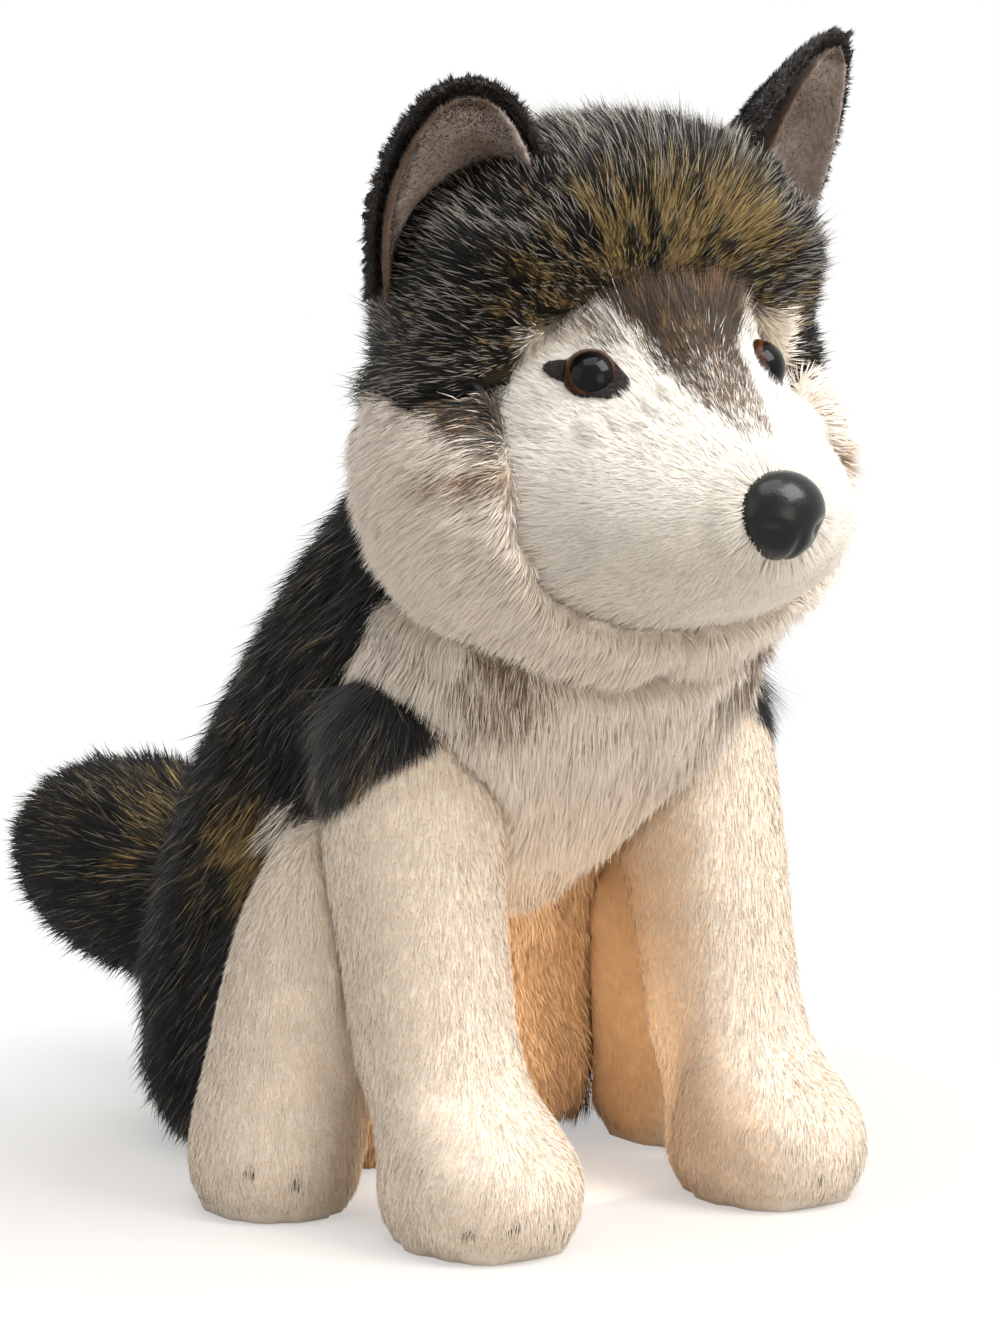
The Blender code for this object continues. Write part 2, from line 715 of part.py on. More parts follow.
def main():
    clear_scene()
    body = make_body()
    chest = make_chest()
    head = make_head()
    face = make_face()
    ruffs = [make_ruff(name) for name in SIDES]
    face_tree = surface_tree(face)
    head_tree = surface_tree(head)
    patches = [make_eye_patch(name, face_tree) for name in SIDES]
    eyes = [make_eye(name, face_tree) for name in SIDES]
    nose = make_nose(face_tree)
    ears = [make_ear(name, head_tree) for name in SIDES]
    forelegs = [make_foreleg(name) for name in SIDES]
    hind_legs = [make_hind_leg(name) for name in SIDES]
    tail = make_tail()

    body_room = grown_copy(body)
    chest_room = grown_copy(chest)
    head_room = grown_copy(head)
    face_room = grown_copy(face)
    ruff_rooms = [grown_copy(ruff) for ruff in ruffs]
    foreleg_rooms = [grown_copy(leg) for leg in forelegs]
    for patch, eye in zip(patches, eyes):
        patch_room = grown_copy(patch)
        carve(eye, patch_room, face_room, head_room)
        carve(patch, face_room, head_room)
    carve(nose, face_room)
    for back, lining in ears:
        carve(back, head_room)
        carve(lining, head_room)
    for ruff in ruffs:
        carve(ruff, head_room, face_room)
    for leg in forelegs:
        carve(leg, body_room, chest_room, *ruff_rooms)
    for leg in hind_legs:
        carve(leg, body_room, *foreleg_rooms)
    carve(tail, body_room)
    carve(head, face_room)
    carve(chest, body_room, head_room, face_room, *ruff_rooms)
    carve(body, head_room, face_room, *ruff_rooms)


if __name__ == "__main__":
    main()
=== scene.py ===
"""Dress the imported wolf: stuffed skins under their pile, cupped ears, eyes, nose and the stage.

Metres, +Z up. The wolf looks along -Y, and "ahead" below means along -Y.
"""
import itertools
import math
from dataclasses import dataclass
from typing import Callable

import bmesh
import bpy
import numpy as np
from bpy.props import FloatProperty, FloatVectorProperty, IntProperty, PointerProperty
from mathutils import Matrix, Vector
from mathutils.bvhtree import BVHTree
from mathutils.kdtree import KDTree


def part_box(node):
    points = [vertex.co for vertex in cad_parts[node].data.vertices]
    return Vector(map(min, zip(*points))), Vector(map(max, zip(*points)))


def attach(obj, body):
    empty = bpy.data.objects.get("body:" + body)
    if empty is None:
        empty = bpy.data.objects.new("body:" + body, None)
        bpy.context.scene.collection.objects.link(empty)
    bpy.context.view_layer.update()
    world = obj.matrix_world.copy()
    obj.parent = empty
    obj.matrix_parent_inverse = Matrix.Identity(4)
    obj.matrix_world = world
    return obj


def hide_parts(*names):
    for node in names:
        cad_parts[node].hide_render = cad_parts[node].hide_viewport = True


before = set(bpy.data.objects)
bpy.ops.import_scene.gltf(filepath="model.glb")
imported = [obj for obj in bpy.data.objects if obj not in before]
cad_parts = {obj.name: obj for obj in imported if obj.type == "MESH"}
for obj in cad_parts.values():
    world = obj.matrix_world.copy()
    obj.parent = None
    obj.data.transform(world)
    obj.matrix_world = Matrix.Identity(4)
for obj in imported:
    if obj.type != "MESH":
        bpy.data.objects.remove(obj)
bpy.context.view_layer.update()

bl_info = {
    "name": "Plush wolf",
    "version": (1, 0, 0),
    "blender": (4, 5, 0),
    "location": "View3D > Sidebar > Plush wolf",
    "description": "Pile, ears, eyes and nose of a sitting stuffed wolf",
    "category": "Object",
}

BODY = "root"
SIDES = {"right": -1, "left": 1}

# Height of the camera's sensor, which only scales its lens
SENSOR_HEIGHT_MM = 36.0


def linear(code):
    """An sRGB hex colour as Blender's linear red, green and blue."""
    parts = [int(code[place:place + 2], 16) / 255 for place in (1, 3, 5)]
    return tuple(part / 12.92 if part <= 0.04045 else ((part + 0.055) / 1.055) ** 2.4
                 for part in parts)


def length(name, description, metres):
    return FloatProperty(name=name, description=description, default=metres, unit="LENGTH")


def share(name, description, value):
    return FloatProperty(name=name, description=description, default=value, subtype="FACTOR",
                         min=0.0, max=1.0)


def angle(name, description, degrees):
    return FloatProperty(name=name, description=description, default=math.radians(degrees),
                         subtype="ANGLE", unit="ROTATION")


def colour(name, description, code):
    return FloatVectorProperty(name=name, description=description, default=linear(code),
                               subtype="COLOR", size=3, min=0.0, max=1.0)


def number(name, description, value):
    return IntProperty(name=name, description=description, default=value, min=0)


class WolfPileSettings(bpy.types.PropertyGroup):
    """Lengths of the pile and how many triangles its fibres may take."""

    crown_length: length("Crown pile", "Fibre length on the crown", 0.0160)
    back_length: length("Back pile", "Fibre length on the back and flanks", 0.0150)
    tail_length: length("Tail pile", "Fibre length on the tail", 0.0160)
    ruff_length: length("Ruff pile", "Fibre length on the cheeks", 0.0150)
    chest_length: length("Chest pile", "Fibre length on the chest", 0.0180)
    shoulder_length: length("Shoulder pile", "Fibre length on the dark shoulder", 0.0190)
    leg_length: length("Leg pile", "Fibre length on the legs", 0.0042)
    face_length: length("Face pile", "Fibre length on the muzzle", 0.0048)
    ear_length: length("Ear pile", "Fibre length on the back of the ears", 0.0032)
    velour_length: length("Ear lining pile", "Fibre length inside the ears", 0.0014)
    long_width: length("Long fibre width", "Width of a lock of long pile", 0.00050)
    short_width: length("Short fibre width", "Width of a lock of short pile", 0.00036)
    body_triangles: number("Body", "Triangles of the body's fibres", 172000)
    head_triangles: number("Head", "Triangles of the head's fibres", 150000)
    face_triangles: number("Face", "Triangles of the face's fibres", 90000)
    ruff_triangles: number("Ruff", "Triangles of one cheek's fibres", 56000)
    chest_triangles: number("Chest", "Triangles of the chest's fibres", 70000)
    foreleg_triangles: number("Foreleg", "Triangles of one foreleg's fibres", 50000)
    hind_leg_triangles: number("Hind leg", "Triangles of one hind leg's fibres", 36000)
    tail_triangles: number("Tail", "Triangles of the tail's fibres", 50000)
    ear_triangles: number("Ear back", "Triangles of one ear's fibres", 20000)
    lining_triangles: number("Ear lining", "Triangles of one lining's fibres", 9000)
    patch_triangles: number("Eye patch", "Triangles of one eye patch's fibres", 1600)


class WolfColourSettings(bpy.types.PropertyGroup):
    """Colours of the pile, the ears, the eyes and the nose."""

    coat_dark: colour("Dark coat", "Charcoal of the back and crown", "#0d0c0a")
    coat_silver: colour("Guard hair", "Grey ends of the dark fibres", "#a19d95")
    coat_tan: colour("Tan", "Gold-brown bands in the dark coat", "#9c8456")
    brow_brown: colour("Brow", "Brown of the forehead", "#32220f")
    mask_white: colour("Mask", "Off-white of the face", "#f8f4ec")
    ruff_cream: colour("Ruff", "Cream of the cheeks and chest", "#f6ede2")
    # Painted peach shade at the roots of the cream pile; also the pale wedge low in each ear lining
    ruff_depth: colour("Ruff depth", "Peach tone at the roots of the cream pile", "#e6d2bf")
    ruff_brown: colour("Ruff streak", "Brown streaks in the ruff", "#8c6a45")
    leg_ivory: colour("Legs", "Ivory of the legs", "#faf1e4")
    # Painted warm shade: the colour at the roots of the ivory pile, and on the insides of the legs
    # and the belly between them
    leg_depth: colour("Leg depth", "Warm tone at the roots of the ivory pile", "#efc99a")
    velour_taupe: colour("Ear lining", "Taupe of the ear lining", "#b0a29a")
    # Painted shade at the roots of the ear lining's velour; also the grey-brown tips of dark fibres
    # on the ears and the eye patches
    velour_depth: colour("Ear fold", "Grey-brown down in the ear", "#6f625b")
    rim_brown: colour("Ear rim", "Mottled brown of the ear rim", "#66503f")
    suede_black: colour("Eye patch", "Black suede behind the eyes", "#1f1b19")
    iris_amber: colour("Iris", "Amber ring of the eyes", "#5e3517")
    iris_dark: colour("Iris edge", "Dark brown round the amber", "#1d0f08")
    pupil_black: colour("Pupil", "Black of the pupils", "#050404")
    nose_black: colour("Nose", "Satin black of the nose", "#090a0b")
    floor_white: colour("Floor", "Pale floor as the camera sees it", "#e9e4de")
    floor_bounce: colour("Floor bounce", "Floor as it lights the toy from below", "#c6c0b9")


class WolfFeatureSettings(bpy.types.PropertyGroup):
    """Sizes of the eyes, the nose and the ears that the frame does not give."""

    eye_radius: length("Eye", "Radius of an eye's dome where it meets the cloth", 0.0090)
    eye_rise: length("Eye rise", "How far an eye's dome stands out of the cloth", 0.0062)
    eye_forward: share("Eye forward", "How far the eyes are turned to look ahead", 0.40)
    pupil_share: share("Pupil", "Pupil radius as a share of the eye's radius", 0.78)
    iris_share: share("Iris", "Iris radius as a share of the eye's radius", 0.94)
    patch_thickness: length("Eye patch", "Thickness of the suede behind an eye", 0.0010)
    nostril_radius: length("Nostril", "Radius of a nostril dimple", 0.0045)
    nostril_depth: length("Nostril depth", "Depth of a nostril dimple", 0.0026)
    ear_band: length("Ear band", "Width of the mottled band inside an ear's rim", 0.0075)
    lining_spread: FloatProperty(name="Lining spread", default=1.18, min=1.0, max=1.25,
                                 description="How much wider a lining is than its solid")


class WolfStageSettings(bpy.types.PropertyGroup):
    """The camera, the lamps and the floor."""

    camera_azimuth: angle("Camera azimuth", "How far round the camera stands", -35.0)
    camera_elevation: angle("Camera elevation", "How far above level the camera stands", 8.3)
    camera_distance: length("Camera distance", "From the lens to the point it looks at", 1.70)
    frame_height: length("Frame height", "Height that the picture spans at that point", 0.4599)
    aim_ahead: length("Aim ahead", "How far ahead of the rump the camera looks", 0.080)
    aim_height: length("Aim height", "Height that the camera looks at", 0.179)
    floor_radius: length("Floor radius", "Radius of the pale floor", 3.0)
    floor_seen: length("Floor shown", "Radius where the floor's shadow has faded", 0.30)
    floor_lift: share("Floor lift", "Share of plain white in the floor near the toy", 0.45)


def pile_sizes():
    return bpy.context.scene.wolf_pile


def colours():
    return bpy.context.scene.wolf_colours


def features():
    return bpy.context.scene.wolf_features


def stage_sizes():
    return bpy.context.scene.wolf_stage


def paint(name):
    """One of the colours, with the opacity that a node's socket takes."""
    return (*getattr(colours(), name), 1.0)


# Numbers over whole arrays of points

def unit(vectors):
    """Each row scaled to length one."""
    return vectors / np.maximum(np.linalg.norm(vectors, axis=1, keepdims=True), 1e-9)


def along(vectors, normals):
    """Each row without its part along a normal."""
    return vectors - normals * np.sum(vectors * normals, axis=1, keepdims=True)


def ramp(values, start, end):
    """Smoothly from 0 at start to 1 at end."""
    part = np.clip((values - start) / (end - start), 0.0, 1.0)
    return part * part * (3 - 2 * part)


def lattice(cells, seed):
    """Three repeatable numbers from -1 to 1 for each whole-number cell."""
    mixed = (cells[:, 0] * 73856093) ^ (cells[:, 1] * 19349663) ^ (cells[:, 2] * 83492791)
    numbers = np.empty((len(cells), 3))
    for channel in range(3):
        hashed = (mixed + seed * 7919 + channel * 104729) & 0x7FFFFFFF
        hashed = (hashed * 1103515245 + 12345) & 0x7FFFFFFF
        hashed = ((hashed >> 7) * 1103515245 + 12345) & 0x7FFFFFFF
        numbers[:, channel] = (hashed >> 8) % 65536 / 32767.5 - 1
    return numbers


def drift(points, size, seed):
    """Smooth noise vectors, from -1 to 1, that change over a size in metres."""
    spots = points / size
    corner = np.floor(spots).astype(np.int64)
    part = spots - corner
    part = part * part * (3 - 2 * part)
    total = np.zeros_like(points)
    for step in itertools.product((0, 1), repeat=3):
        weight = np.prod(np.where(np.array(step) == 1, part, 1 - part), axis=1)
        total += weight[:, None] * lattice(corner + np.array(step), seed)
    return total


def mottle(points, size, seed):
    """One smooth noise number from -1 to 1 at each point, from two sizes of patch."""
    return 0.65 * drift(points, size, seed)[:, 0] + 0.35 * drift(points, size * 0.4, seed + 1)[:, 0]


STREAK_REACH = 0.08


def streaked(points, centre, across_size, along_size, seed):
    """Smooth noise from -1 to 1 drawn out into streaks that lead away from a centre."""
    spokes = points - np.array(centre)
    reach = np.linalg.norm(spokes, axis=1, keepdims=True)
    spots = spokes / reach * (STREAK_REACH / across_size)
    spots[:, 1] += reach[:, 0] / along_size
    return drift(spots, 1.0, seed)[:, 0]


def near(points, place, radius):
    """One at a place, falling smoothly to nothing at a radius."""
    gap = np.linalg.norm(points - np.array(place), axis=1)
    return 1 - ramp(gap, radius * 0.25, radius)


def ahead(points):
    return -points[:, 1]


def folded(points):
    """Points with their left side laid over their right, measured ahead instead of along Y."""
    return np.stack([np.abs(points[:, 0]), ahead(points), points[:, 2]], axis=1)


# Small places on both sides of the wolf: across, ahead and up, and the radius where each ends
EYE_SPOT = (0.0355, 0.182, 0.2887)
SPOTS = {
    "eye": (EYE_SPOT, 0.030),
    "eyelid": ((0.027, 0.180, 0.301), 0.010),
    "temple": ((0.036, 0.175, 0.306), 0.014),
    "brow corner": ((0.046, 0.171, 0.306), 0.030),
    "jaw smudge": ((0.054, 0.157, 0.188), 0.022),
    "rear of the chest": ((0.076, 0.128, 0.172), 0.018),
    "flank tuft": ((0.071, 0.060, 0.133), 0.013),
    "haunch": ((0.080, 0.038, 0.116), 0.038),
}
TOE_SPOTS = {"foreleg": ((0.055, 0.192, 0.013), (0.071, 0.191, 0.015), (0.084, 0.181, 0.011)),
             "hind_leg": ((0.100, 0.105, 0.015), (0.114, 0.096, 0.020))}
TOE_SPOT_RADIUS = 0.0042


def spot(points, name):
    """One at a named place of either side, falling smoothly to nothing at its radius."""
    return near(folded(points), *SPOTS[name])


# Materials

def add_node(tree, kind, settings=None, *inputs):
    """Add a node with its settings and links, and return it.

    A key of settings is an input, by name or place, or one of the node's own choices. The
    values after them go to its first inputs in order. Another node's output is linked.
    """
    node = tree.nodes.new(kind)
    for key, value in (dict(enumerate(inputs)) | (settings or {})).items():
        if not isinstance(key, int) and key not in node.inputs:
            setattr(node, key, value)
        elif isinstance(value, bpy.types.NodeSocket):
            tree.links.new(value, node.inputs[key])
        else:
            node.inputs[key].default_value = value
    return node


def empty_material(name):
    made = bpy.data.materials.new(name)
    made.use_nodes = True
    made.node_tree.nodes.clear()
    return made, made.node_tree


# The inputs of a colour mix by place, because all of its kinds share their names
MIXED = {"data_type": "RGBA"}
SHARE, UNDER, OVER, RESULT = 0, 6, 7, 2

MULTIPLIED = {"operation": "MULTIPLY"}
GRAIN = {"Detail": 3.0, "Roughness": 0.6}
GRAIN_SPAN = (0.3, 0.7)


@dataclass
class PileLook:
    """Colours and shine of one pile: pale fibres, dark fibres and accent bands."""

    pale: tuple
    # Colour at the roots of the pale fibres: painted shade
    depth: tuple
    dark: tuple
    tip: tuple
    accent: tuple
    roughness: float = 0.62
    sheen: float = 0.2
    tone_spread: float = 0.10
    silver_from: float = 0.80
    shine: float = 0.35


ACRYLIC_IOR = 1.49
PATCH_MM = 9.0
PATCH_TONES = (0.93, 1.04)
SILVER_STEP = 0.12
PALER_SHARE = 0.6
ROUGHNESS_SPREAD = 0.08

# Where along a fibre, from its root at 0 to its tip at 1, each tone changes
ROOT_SHADE = (0.0, 0.35)
GREY_TIP = (0.35, 0.9)
BAND_RISE = (0.05, 0.45)
BAND_FALL = (0.6, 1.0, 1.0, 0.45)


def pile_material(name, look):
    """Acrylic pile, knitted and brushed: soft, matt, with a faint shine along each fibre.

    The mesh's markings give the share of dark fibre, of accent, the fibre's own tone and the
    place along it, so that the roots are painted in a warm shade and some dark fibres end in grey.
    """
    made, tree = empty_material(name)
    marks = add_node(tree, "ShaderNodeAttribute", {"attribute_name": "markings"})
    parts = add_node(tree, "ShaderNodeSeparateColor", None, marks.outputs["Color"])
    dark_share, accent_share, tone = parts.outputs
    along_fibre = marks.outputs["Alpha"]
    # Painted root shade: pale fibres darken to the depth colour near their roots
    lit = add_node(tree, "ShaderNodeMapRange", None, along_fibre, *ROOT_SHADE)
    pale = add_node(tree, "ShaderNodeMix",
                    {**MIXED, SHARE: lit.outputs[0], UNDER: look.depth, OVER: look.pale})
    tipped = add_node(tree, "ShaderNodeMapRange", None, along_fibre, *GREY_TIP)
    tips = add_node(tree, "ShaderNodeMix",
                    {**MIXED, SHARE: tipped.outputs[0], UNDER: look.dark, OVER: look.tip})
    silver = add_node(tree, "ShaderNodeMapRange", None, tone, look.silver_from,
                      look.silver_from + SILVER_STEP)
    dark = add_node(tree, "ShaderNodeMix",
                    {**MIXED, SHARE: silver.outputs[0], UNDER: look.dark,
                     OVER: tips.outputs[RESULT]})
    plain = add_node(tree, "ShaderNodeMix",
                     {**MIXED, SHARE: dark_share, UNDER: pale.outputs[RESULT],
                      OVER: dark.outputs[RESULT]})
    rise = add_node(tree, "ShaderNodeMapRange", None, along_fibre, *BAND_RISE)
    fall = add_node(tree, "ShaderNodeMapRange", None, along_fibre, *BAND_FALL)
    band = add_node(tree, "ShaderNodeMath", MULTIPLIED, rise.outputs[0], fall.outputs[0])
    banded = add_node(tree, "ShaderNodeMath", MULTIPLIED, accent_share, band.outputs[0])
    coat = add_node(tree, "ShaderNodeMix",
                    {**MIXED, SHARE: banded.outputs[0], UNDER: plain.outputs[RESULT],
                     OVER: look.accent})
    place = add_node(tree, "ShaderNodeTexCoord")
    noise = add_node(tree, "ShaderNodeTexNoise", {"Vector": place.outputs["Object"],
                                                  "Scale": 1000.0 / PATCH_MM, **GRAIN})
    patchy = add_node(tree, "ShaderNodeMapRange", None, noise.outputs["Fac"], *GRAIN_SPAN,
                      *PATCH_TONES)
    fibre_tone = add_node(tree, "ShaderNodeMapRange", None, tone, 0.0, 1.0,
                          1.0 - look.tone_spread, 1.0 + look.tone_spread * PALER_SHARE)
    brightness = add_node(tree, "ShaderNodeMath", MULTIPLIED, patchy.outputs[0],
                          fibre_tone.outputs[0])
    shaded = add_node(tree, "ShaderNodeVectorMath",
                      {"operation": "SCALE", "Scale": brightness.outputs[0]},
                      coat.outputs[RESULT])
    rough = add_node(tree, "ShaderNodeMapRange", None, tone, 0.0, 1.0,
                     look.roughness - ROUGHNESS_SPREAD, look.roughness + ROUGHNESS_SPREAD)
    shader = add_node(tree, "ShaderNodeBsdfPrincipled",
                      {"IOR": ACRYLIC_IOR, "Specular IOR Level": look.shine,
                       "Sheen Weight": look.sheen, "Sheen Roughness": 0.5,
                       "Base Color": shaded.outputs[0], "Roughness": rough.outputs[0]})
    add_node(tree, "ShaderNodeOutputMaterial", None, shader.outputs[0])
    return made


LONG_DARK = {"roughness": 0.56, "sheen": 0.0, "tone_spread": 0.30, "shine": 0.18}

# Each pile's colours, as pale ends, roots (painted shade), dark fibres, their tips and accent, and
# its finish
PILES = {
    # Long mottled pile of the back: near black, with few grey guard hairs and gold bands
    "dark_acrylic_pile": ("leg_ivory leg_depth coat_dark coat_silver coat_tan",
                          {**LONG_DARK, "silver_from": 0.92}),
    # The same pile on the head, where more of the guard hairs are silver
    "silvered_acrylic_pile": ("leg_ivory leg_depth coat_dark coat_silver coat_tan",
                              {**LONG_DARK, "silver_from": 0.78}),
    # Long silky pile of the cheeks and chest: cream with brown streaks, dark at its edges
    "cream_acrylic_pile": ("ruff_cream ruff_depth coat_dark ruff_brown ruff_brown",
                           {"tone_spread": 0.05}),
    # Short brushed pile of the legs: ivory, dark at the shoulder, the flank and the toe marks
    "ivory_acrylic_pile": ("leg_ivory leg_depth coat_dark coat_silver coat_tan",
                           {"roughness": 0.66, "tone_spread": 0.03}),
    # Short clipped pile of the face: off-white with a mottled brown brow
    "white_acrylic_pile": ("mask_white ruff_cream brow_brown rim_brown ruff_brown",
                           {"roughness": 0.66, "tone_spread": 0.05, "silver_from": 0.72}),
    # Dense short pile of the ear backs: near black, mottled brown round the rim
    "ear_acrylic_pile": ("velour_taupe velour_depth coat_dark velour_depth rim_brown",
                         {"tone_spread": 0.25}),
    # Cut velour of the ear linings: taupe, dense and matt, mottled brown near the rim
    "taupe_velour": ("velour_taupe velour_depth rim_brown velour_depth ruff_depth",
                     {"roughness": 0.75, "sheen": 0.3, "tone_spread": 0.10}),
    # Brushed black suede cloth of the eye patches: matt, with a dusty nap
    "black_suede_cloth": ("velour_depth suede_black suede_black velour_depth rim_brown",
                          {"roughness": 0.8, "tone_spread": 0.25}),
}


def pile(name):
    """One of the piles, made once and shared by every piece that wears it."""
    kept = bpy.data.materials.get(name)
    if kept:
        return kept
    names, finish = PILES[name]
    return pile_material(name, PileLook(*(paint(part) for part in names.split()), **finish))


CLEAR_PLASTIC_IOR = 1.3
IRIS_GRAIN_MM = 0.8
IRIS_STREAKS = (0.35, 0.7)
IRIS_EVENNESS = 0.3
IRIS_EDGE = (-0.10, 0.03)
PUPIL_EDGE = (-0.02, 0.03)


def eye_plastic():
    """Injection-moulded safety eye: amber painted ring and black pupil under a clear dome.

    The coat is the clear plastic, hard and glossy, so that it mirrors the lamps. The mesh's
    ring gives the distance from the eye's middle.
    """
    name = "clear_moulded_plastic_over_amber"
    if name in bpy.data.materials:
        return bpy.data.materials[name]
    sizes = features()
    made, tree = empty_material(name)
    ring = add_node(tree, "ShaderNodeAttribute", {"attribute_name": "ring"}).outputs["Fac"]
    place = add_node(tree, "ShaderNodeTexCoord")
    noise = add_node(tree, "ShaderNodeTexNoise", {"Vector": place.outputs["Object"],
                                                  "Scale": 1000.0 / IRIS_GRAIN_MM, **GRAIN})
    streaks = add_node(tree, "ShaderNodeMapRange", None, noise.outputs["Fac"], *IRIS_STREAKS)
    amber = add_node(tree, "ShaderNodeMix",
                     {**MIXED, SHARE: streaks.outputs[0], UNDER: paint("iris_amber"),
                      OVER: paint("iris_dark")})
    amber = add_node(tree, "ShaderNodeMix",
                     {**MIXED, SHARE: IRIS_EVENNESS, UNDER: amber.outputs[RESULT],
                      OVER: paint("iris_amber")})
    edge = add_node(tree, "ShaderNodeMapRange", None, ring,
                    *(sizes.iris_share + step for step in IRIS_EDGE))
    iris = add_node(tree, "ShaderNodeMix",
                    {**MIXED, SHARE: edge.outputs[0], UNDER: amber.outputs[RESULT],
                     OVER: paint("iris_dark")})
    edge = add_node(tree, "ShaderNodeMapRange", None, ring,
                    *(sizes.pupil_share + step for step in PUPIL_EDGE))
    inner = add_node(tree, "ShaderNodeMix",
                     {**MIXED, SHARE: edge.outputs[0], UNDER: paint("pupil_black"),
                      OVER: iris.outputs[RESULT]})
    shader = add_node(tree, "ShaderNodeBsdfPrincipled",
                      {"Roughness": 0.35, "IOR": CLEAR_PLASTIC_IOR, "Specular IOR Level": 0.1,
                       "Coat Weight": 0.6, "Coat Roughness": 0.03,
                       "Coat IOR": CLEAR_PLASTIC_IOR, "Base Color": inner.outputs[RESULT]})
    add_node(tree, "ShaderNodeOutputMaterial", None, shader.outputs[0])
    return made


NOSE_IOR = 1.35
NOSE_CELL_MM = 1.1
NOSE_CELL_DEPTH = 0.0004
NOSE_WEAR_MM = 5.0
NOSE_ROUGHNESS = (0.27, 0.36)


def nose_plastic():
    """Moulded ABS nose: satin black, with the fine dimpled skin of a leather nose.

    The cells break up the shine and the roughness drifts, as on a handled moulding.
    """
    made, tree = empty_material("satin_black_abs")
    place = add_node(tree, "ShaderNodeTexCoord").outputs["Object"]
    cells = add_node(tree, "ShaderNodeTexVoronoi",
                     {"Vector": place, "Scale": 1000.0 / NOSE_CELL_MM})
    bump = add_node(tree, "ShaderNodeBump", {"Strength": 0.16, "Distance": NOSE_CELL_DEPTH,
                                             "Height": cells.outputs["Distance"]})
    noise = add_node(tree, "ShaderNodeTexNoise", {"Vector": place,
                                                  "Scale": 1000.0 / NOSE_WEAR_MM, **GRAIN})
    rough = add_node(tree, "ShaderNodeMapRange", None, noise.outputs["Fac"], *GRAIN_SPAN,
                     *NOSE_ROUGHNESS)
    shader = add_node(tree, "ShaderNodeBsdfPrincipled",
                      {"Base Color": paint("nose_black"), "IOR": NOSE_IOR,
                       "Specular IOR Level": 0.4, "Coat Weight": 0.35, "Coat Roughness": 0.12,
                       "Coat IOR": NOSE_IOR, "Roughness": rough.outputs[0],
                       "Normal": bump.outputs["Normal"]})
    add_node(tree, "ShaderNodeOutputMaterial", None, shader.outputs[0])
    return made


# Stuffed skins

SOLE_HEIGHT = 0.0004
SEAM_INSET = 0.0004
SEAM_START = 0.0008
SEAM_REACH = 0.012
FLOOR_SHARE = 0.6
SKIN_TONE = 0.3
SKIN_PLACE = 0.45

node_trees = {}
node_boxes = {node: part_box(node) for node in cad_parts}


def node_tree_of(node):
    """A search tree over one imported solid, made once."""
    if node not in node_trees:
        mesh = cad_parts[node].data
        node_trees[node] = BVHTree.FromPolygons([corner.co for corner in mesh.vertices],
                                                [list(face.vertices) for face in mesh.polygons])
    return node_trees[node]


def box_holds(node, point, margin):
    low, high = node_boxes[node]
    return all(low[axis] - margin < point[axis] < high[axis] + margin for axis in range(3))


def nearest_other(node, point, reach):
    """How far a point lies from the other solids, up to a reach, and less than 0 inside one."""
    least = reach
    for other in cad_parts:
        if other == node or not box_holds(other, point, reach):
            continue
        place, normal, _, gap = node_tree_of(other).find_nearest(point, reach * 3)
        if place is None:
            continue
        if (point - place).dot(normal) < 0:
            return -gap
        least = min(least, gap)
    return least


def others_gap(node, points, reach):
    return np.array([nearest_other(node, Vector(point), reach) for point in points])


def gap_to(node, points, reach):
    """How far each point lies from one solid, up to a reach."""
    tree = node_tree_of(node)
    found = [tree.find_nearest(Vector(point), reach)[3] for point in points]
    return np.array([reach if gap is None else gap for gap in found])


def placed(name, data):
    """A new object of the scene for a mesh, a lamp or a camera."""
    made = bpy.data.objects.new(name, data)
    bpy.context.scene.collection.objects.link(made)
    return made


def array_of(items, field, width, kind=np.float32):
    """One field of a mesh's corners, faces or loops, a row for each."""
    values = np.empty(len(items) * width, kind)
    items.foreach_get(field, values)
    return values.reshape(-1, width)


def corner_points(mesh):
    return array_of(mesh.vertices, "co", 3).astype(np.float64)


def corner_normals(mesh):
    return array_of(mesh.vertex_normals, "vector", 3).astype(np.float64)


def stuffed_skin(coat):
    """The cloth of one stuffed piece: its solid remeshed evenly, softened and drawn in.

    It is drawn in by the depth of its pile, less and less towards a seam. It returns the
    piece and, for each corner, how near the seam is, from 0 at the seam to 1.
    """
    made = placed(coat.node + "_skin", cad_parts[coat.node].data.copy())
    even = made.modifiers.new("even", "REMESH")
    even.mode = "VOXEL"
    even.voxel_size = coat.skin_step
    soften = made.modifiers.new("soften", "SMOOTH")
    soften.factor = 0.5
    soften.iterations = coat.skin_rounds
    if coat.skin_kept < 1.0:
        thin = made.modifiers.new("thin", "DECIMATE")
        thin.ratio = coat.skin_kept
    graph = bpy.context.evaluated_depsgraph_get()
    graph.update()
    mesh = bpy.data.meshes.new_from_object(made.evaluated_get(graph))
    made.modifiers.clear()
    made.data = mesh
    normals = corner_normals(mesh)
    points = corner_points(mesh)
    free = ramp(others_gap(coat.node, points, SEAM_REACH), SEAM_START, SEAM_REACH)
    if coat.reshape:
        points = coat.reshape(points)
    on_floor = points[:, 2] < coat.skin_step * FLOOR_SHARE
    points -= normals * (SEAM_INSET + (coat.skin_inset - SEAM_INSET) * free)[:, None]
    points[on_floor, 2] = SOLE_HEIGHT
    points[:, 2] = np.maximum(points[:, 2], SOLE_HEIGHT)
    mesh.vertices.foreach_set("co", points.ravel())
    mesh.update()
    mesh.shade_smooth()
    return made, free


def open_share(node, mesh, reach):
    """For each corner of a skin, one where its pile can stand and zero where it is seated."""
    points = corner_points(mesh)
    normals = corner_normals(mesh)
    seated = others_gap(node, points + normals * reach, reach) < 0.0
    seated |= (points[:, 2] < SOLE_HEIGHT * 2) & (normals[:, 2] < -0.5)
    return np.where(seated, 0.0, 1.0)


# Pile

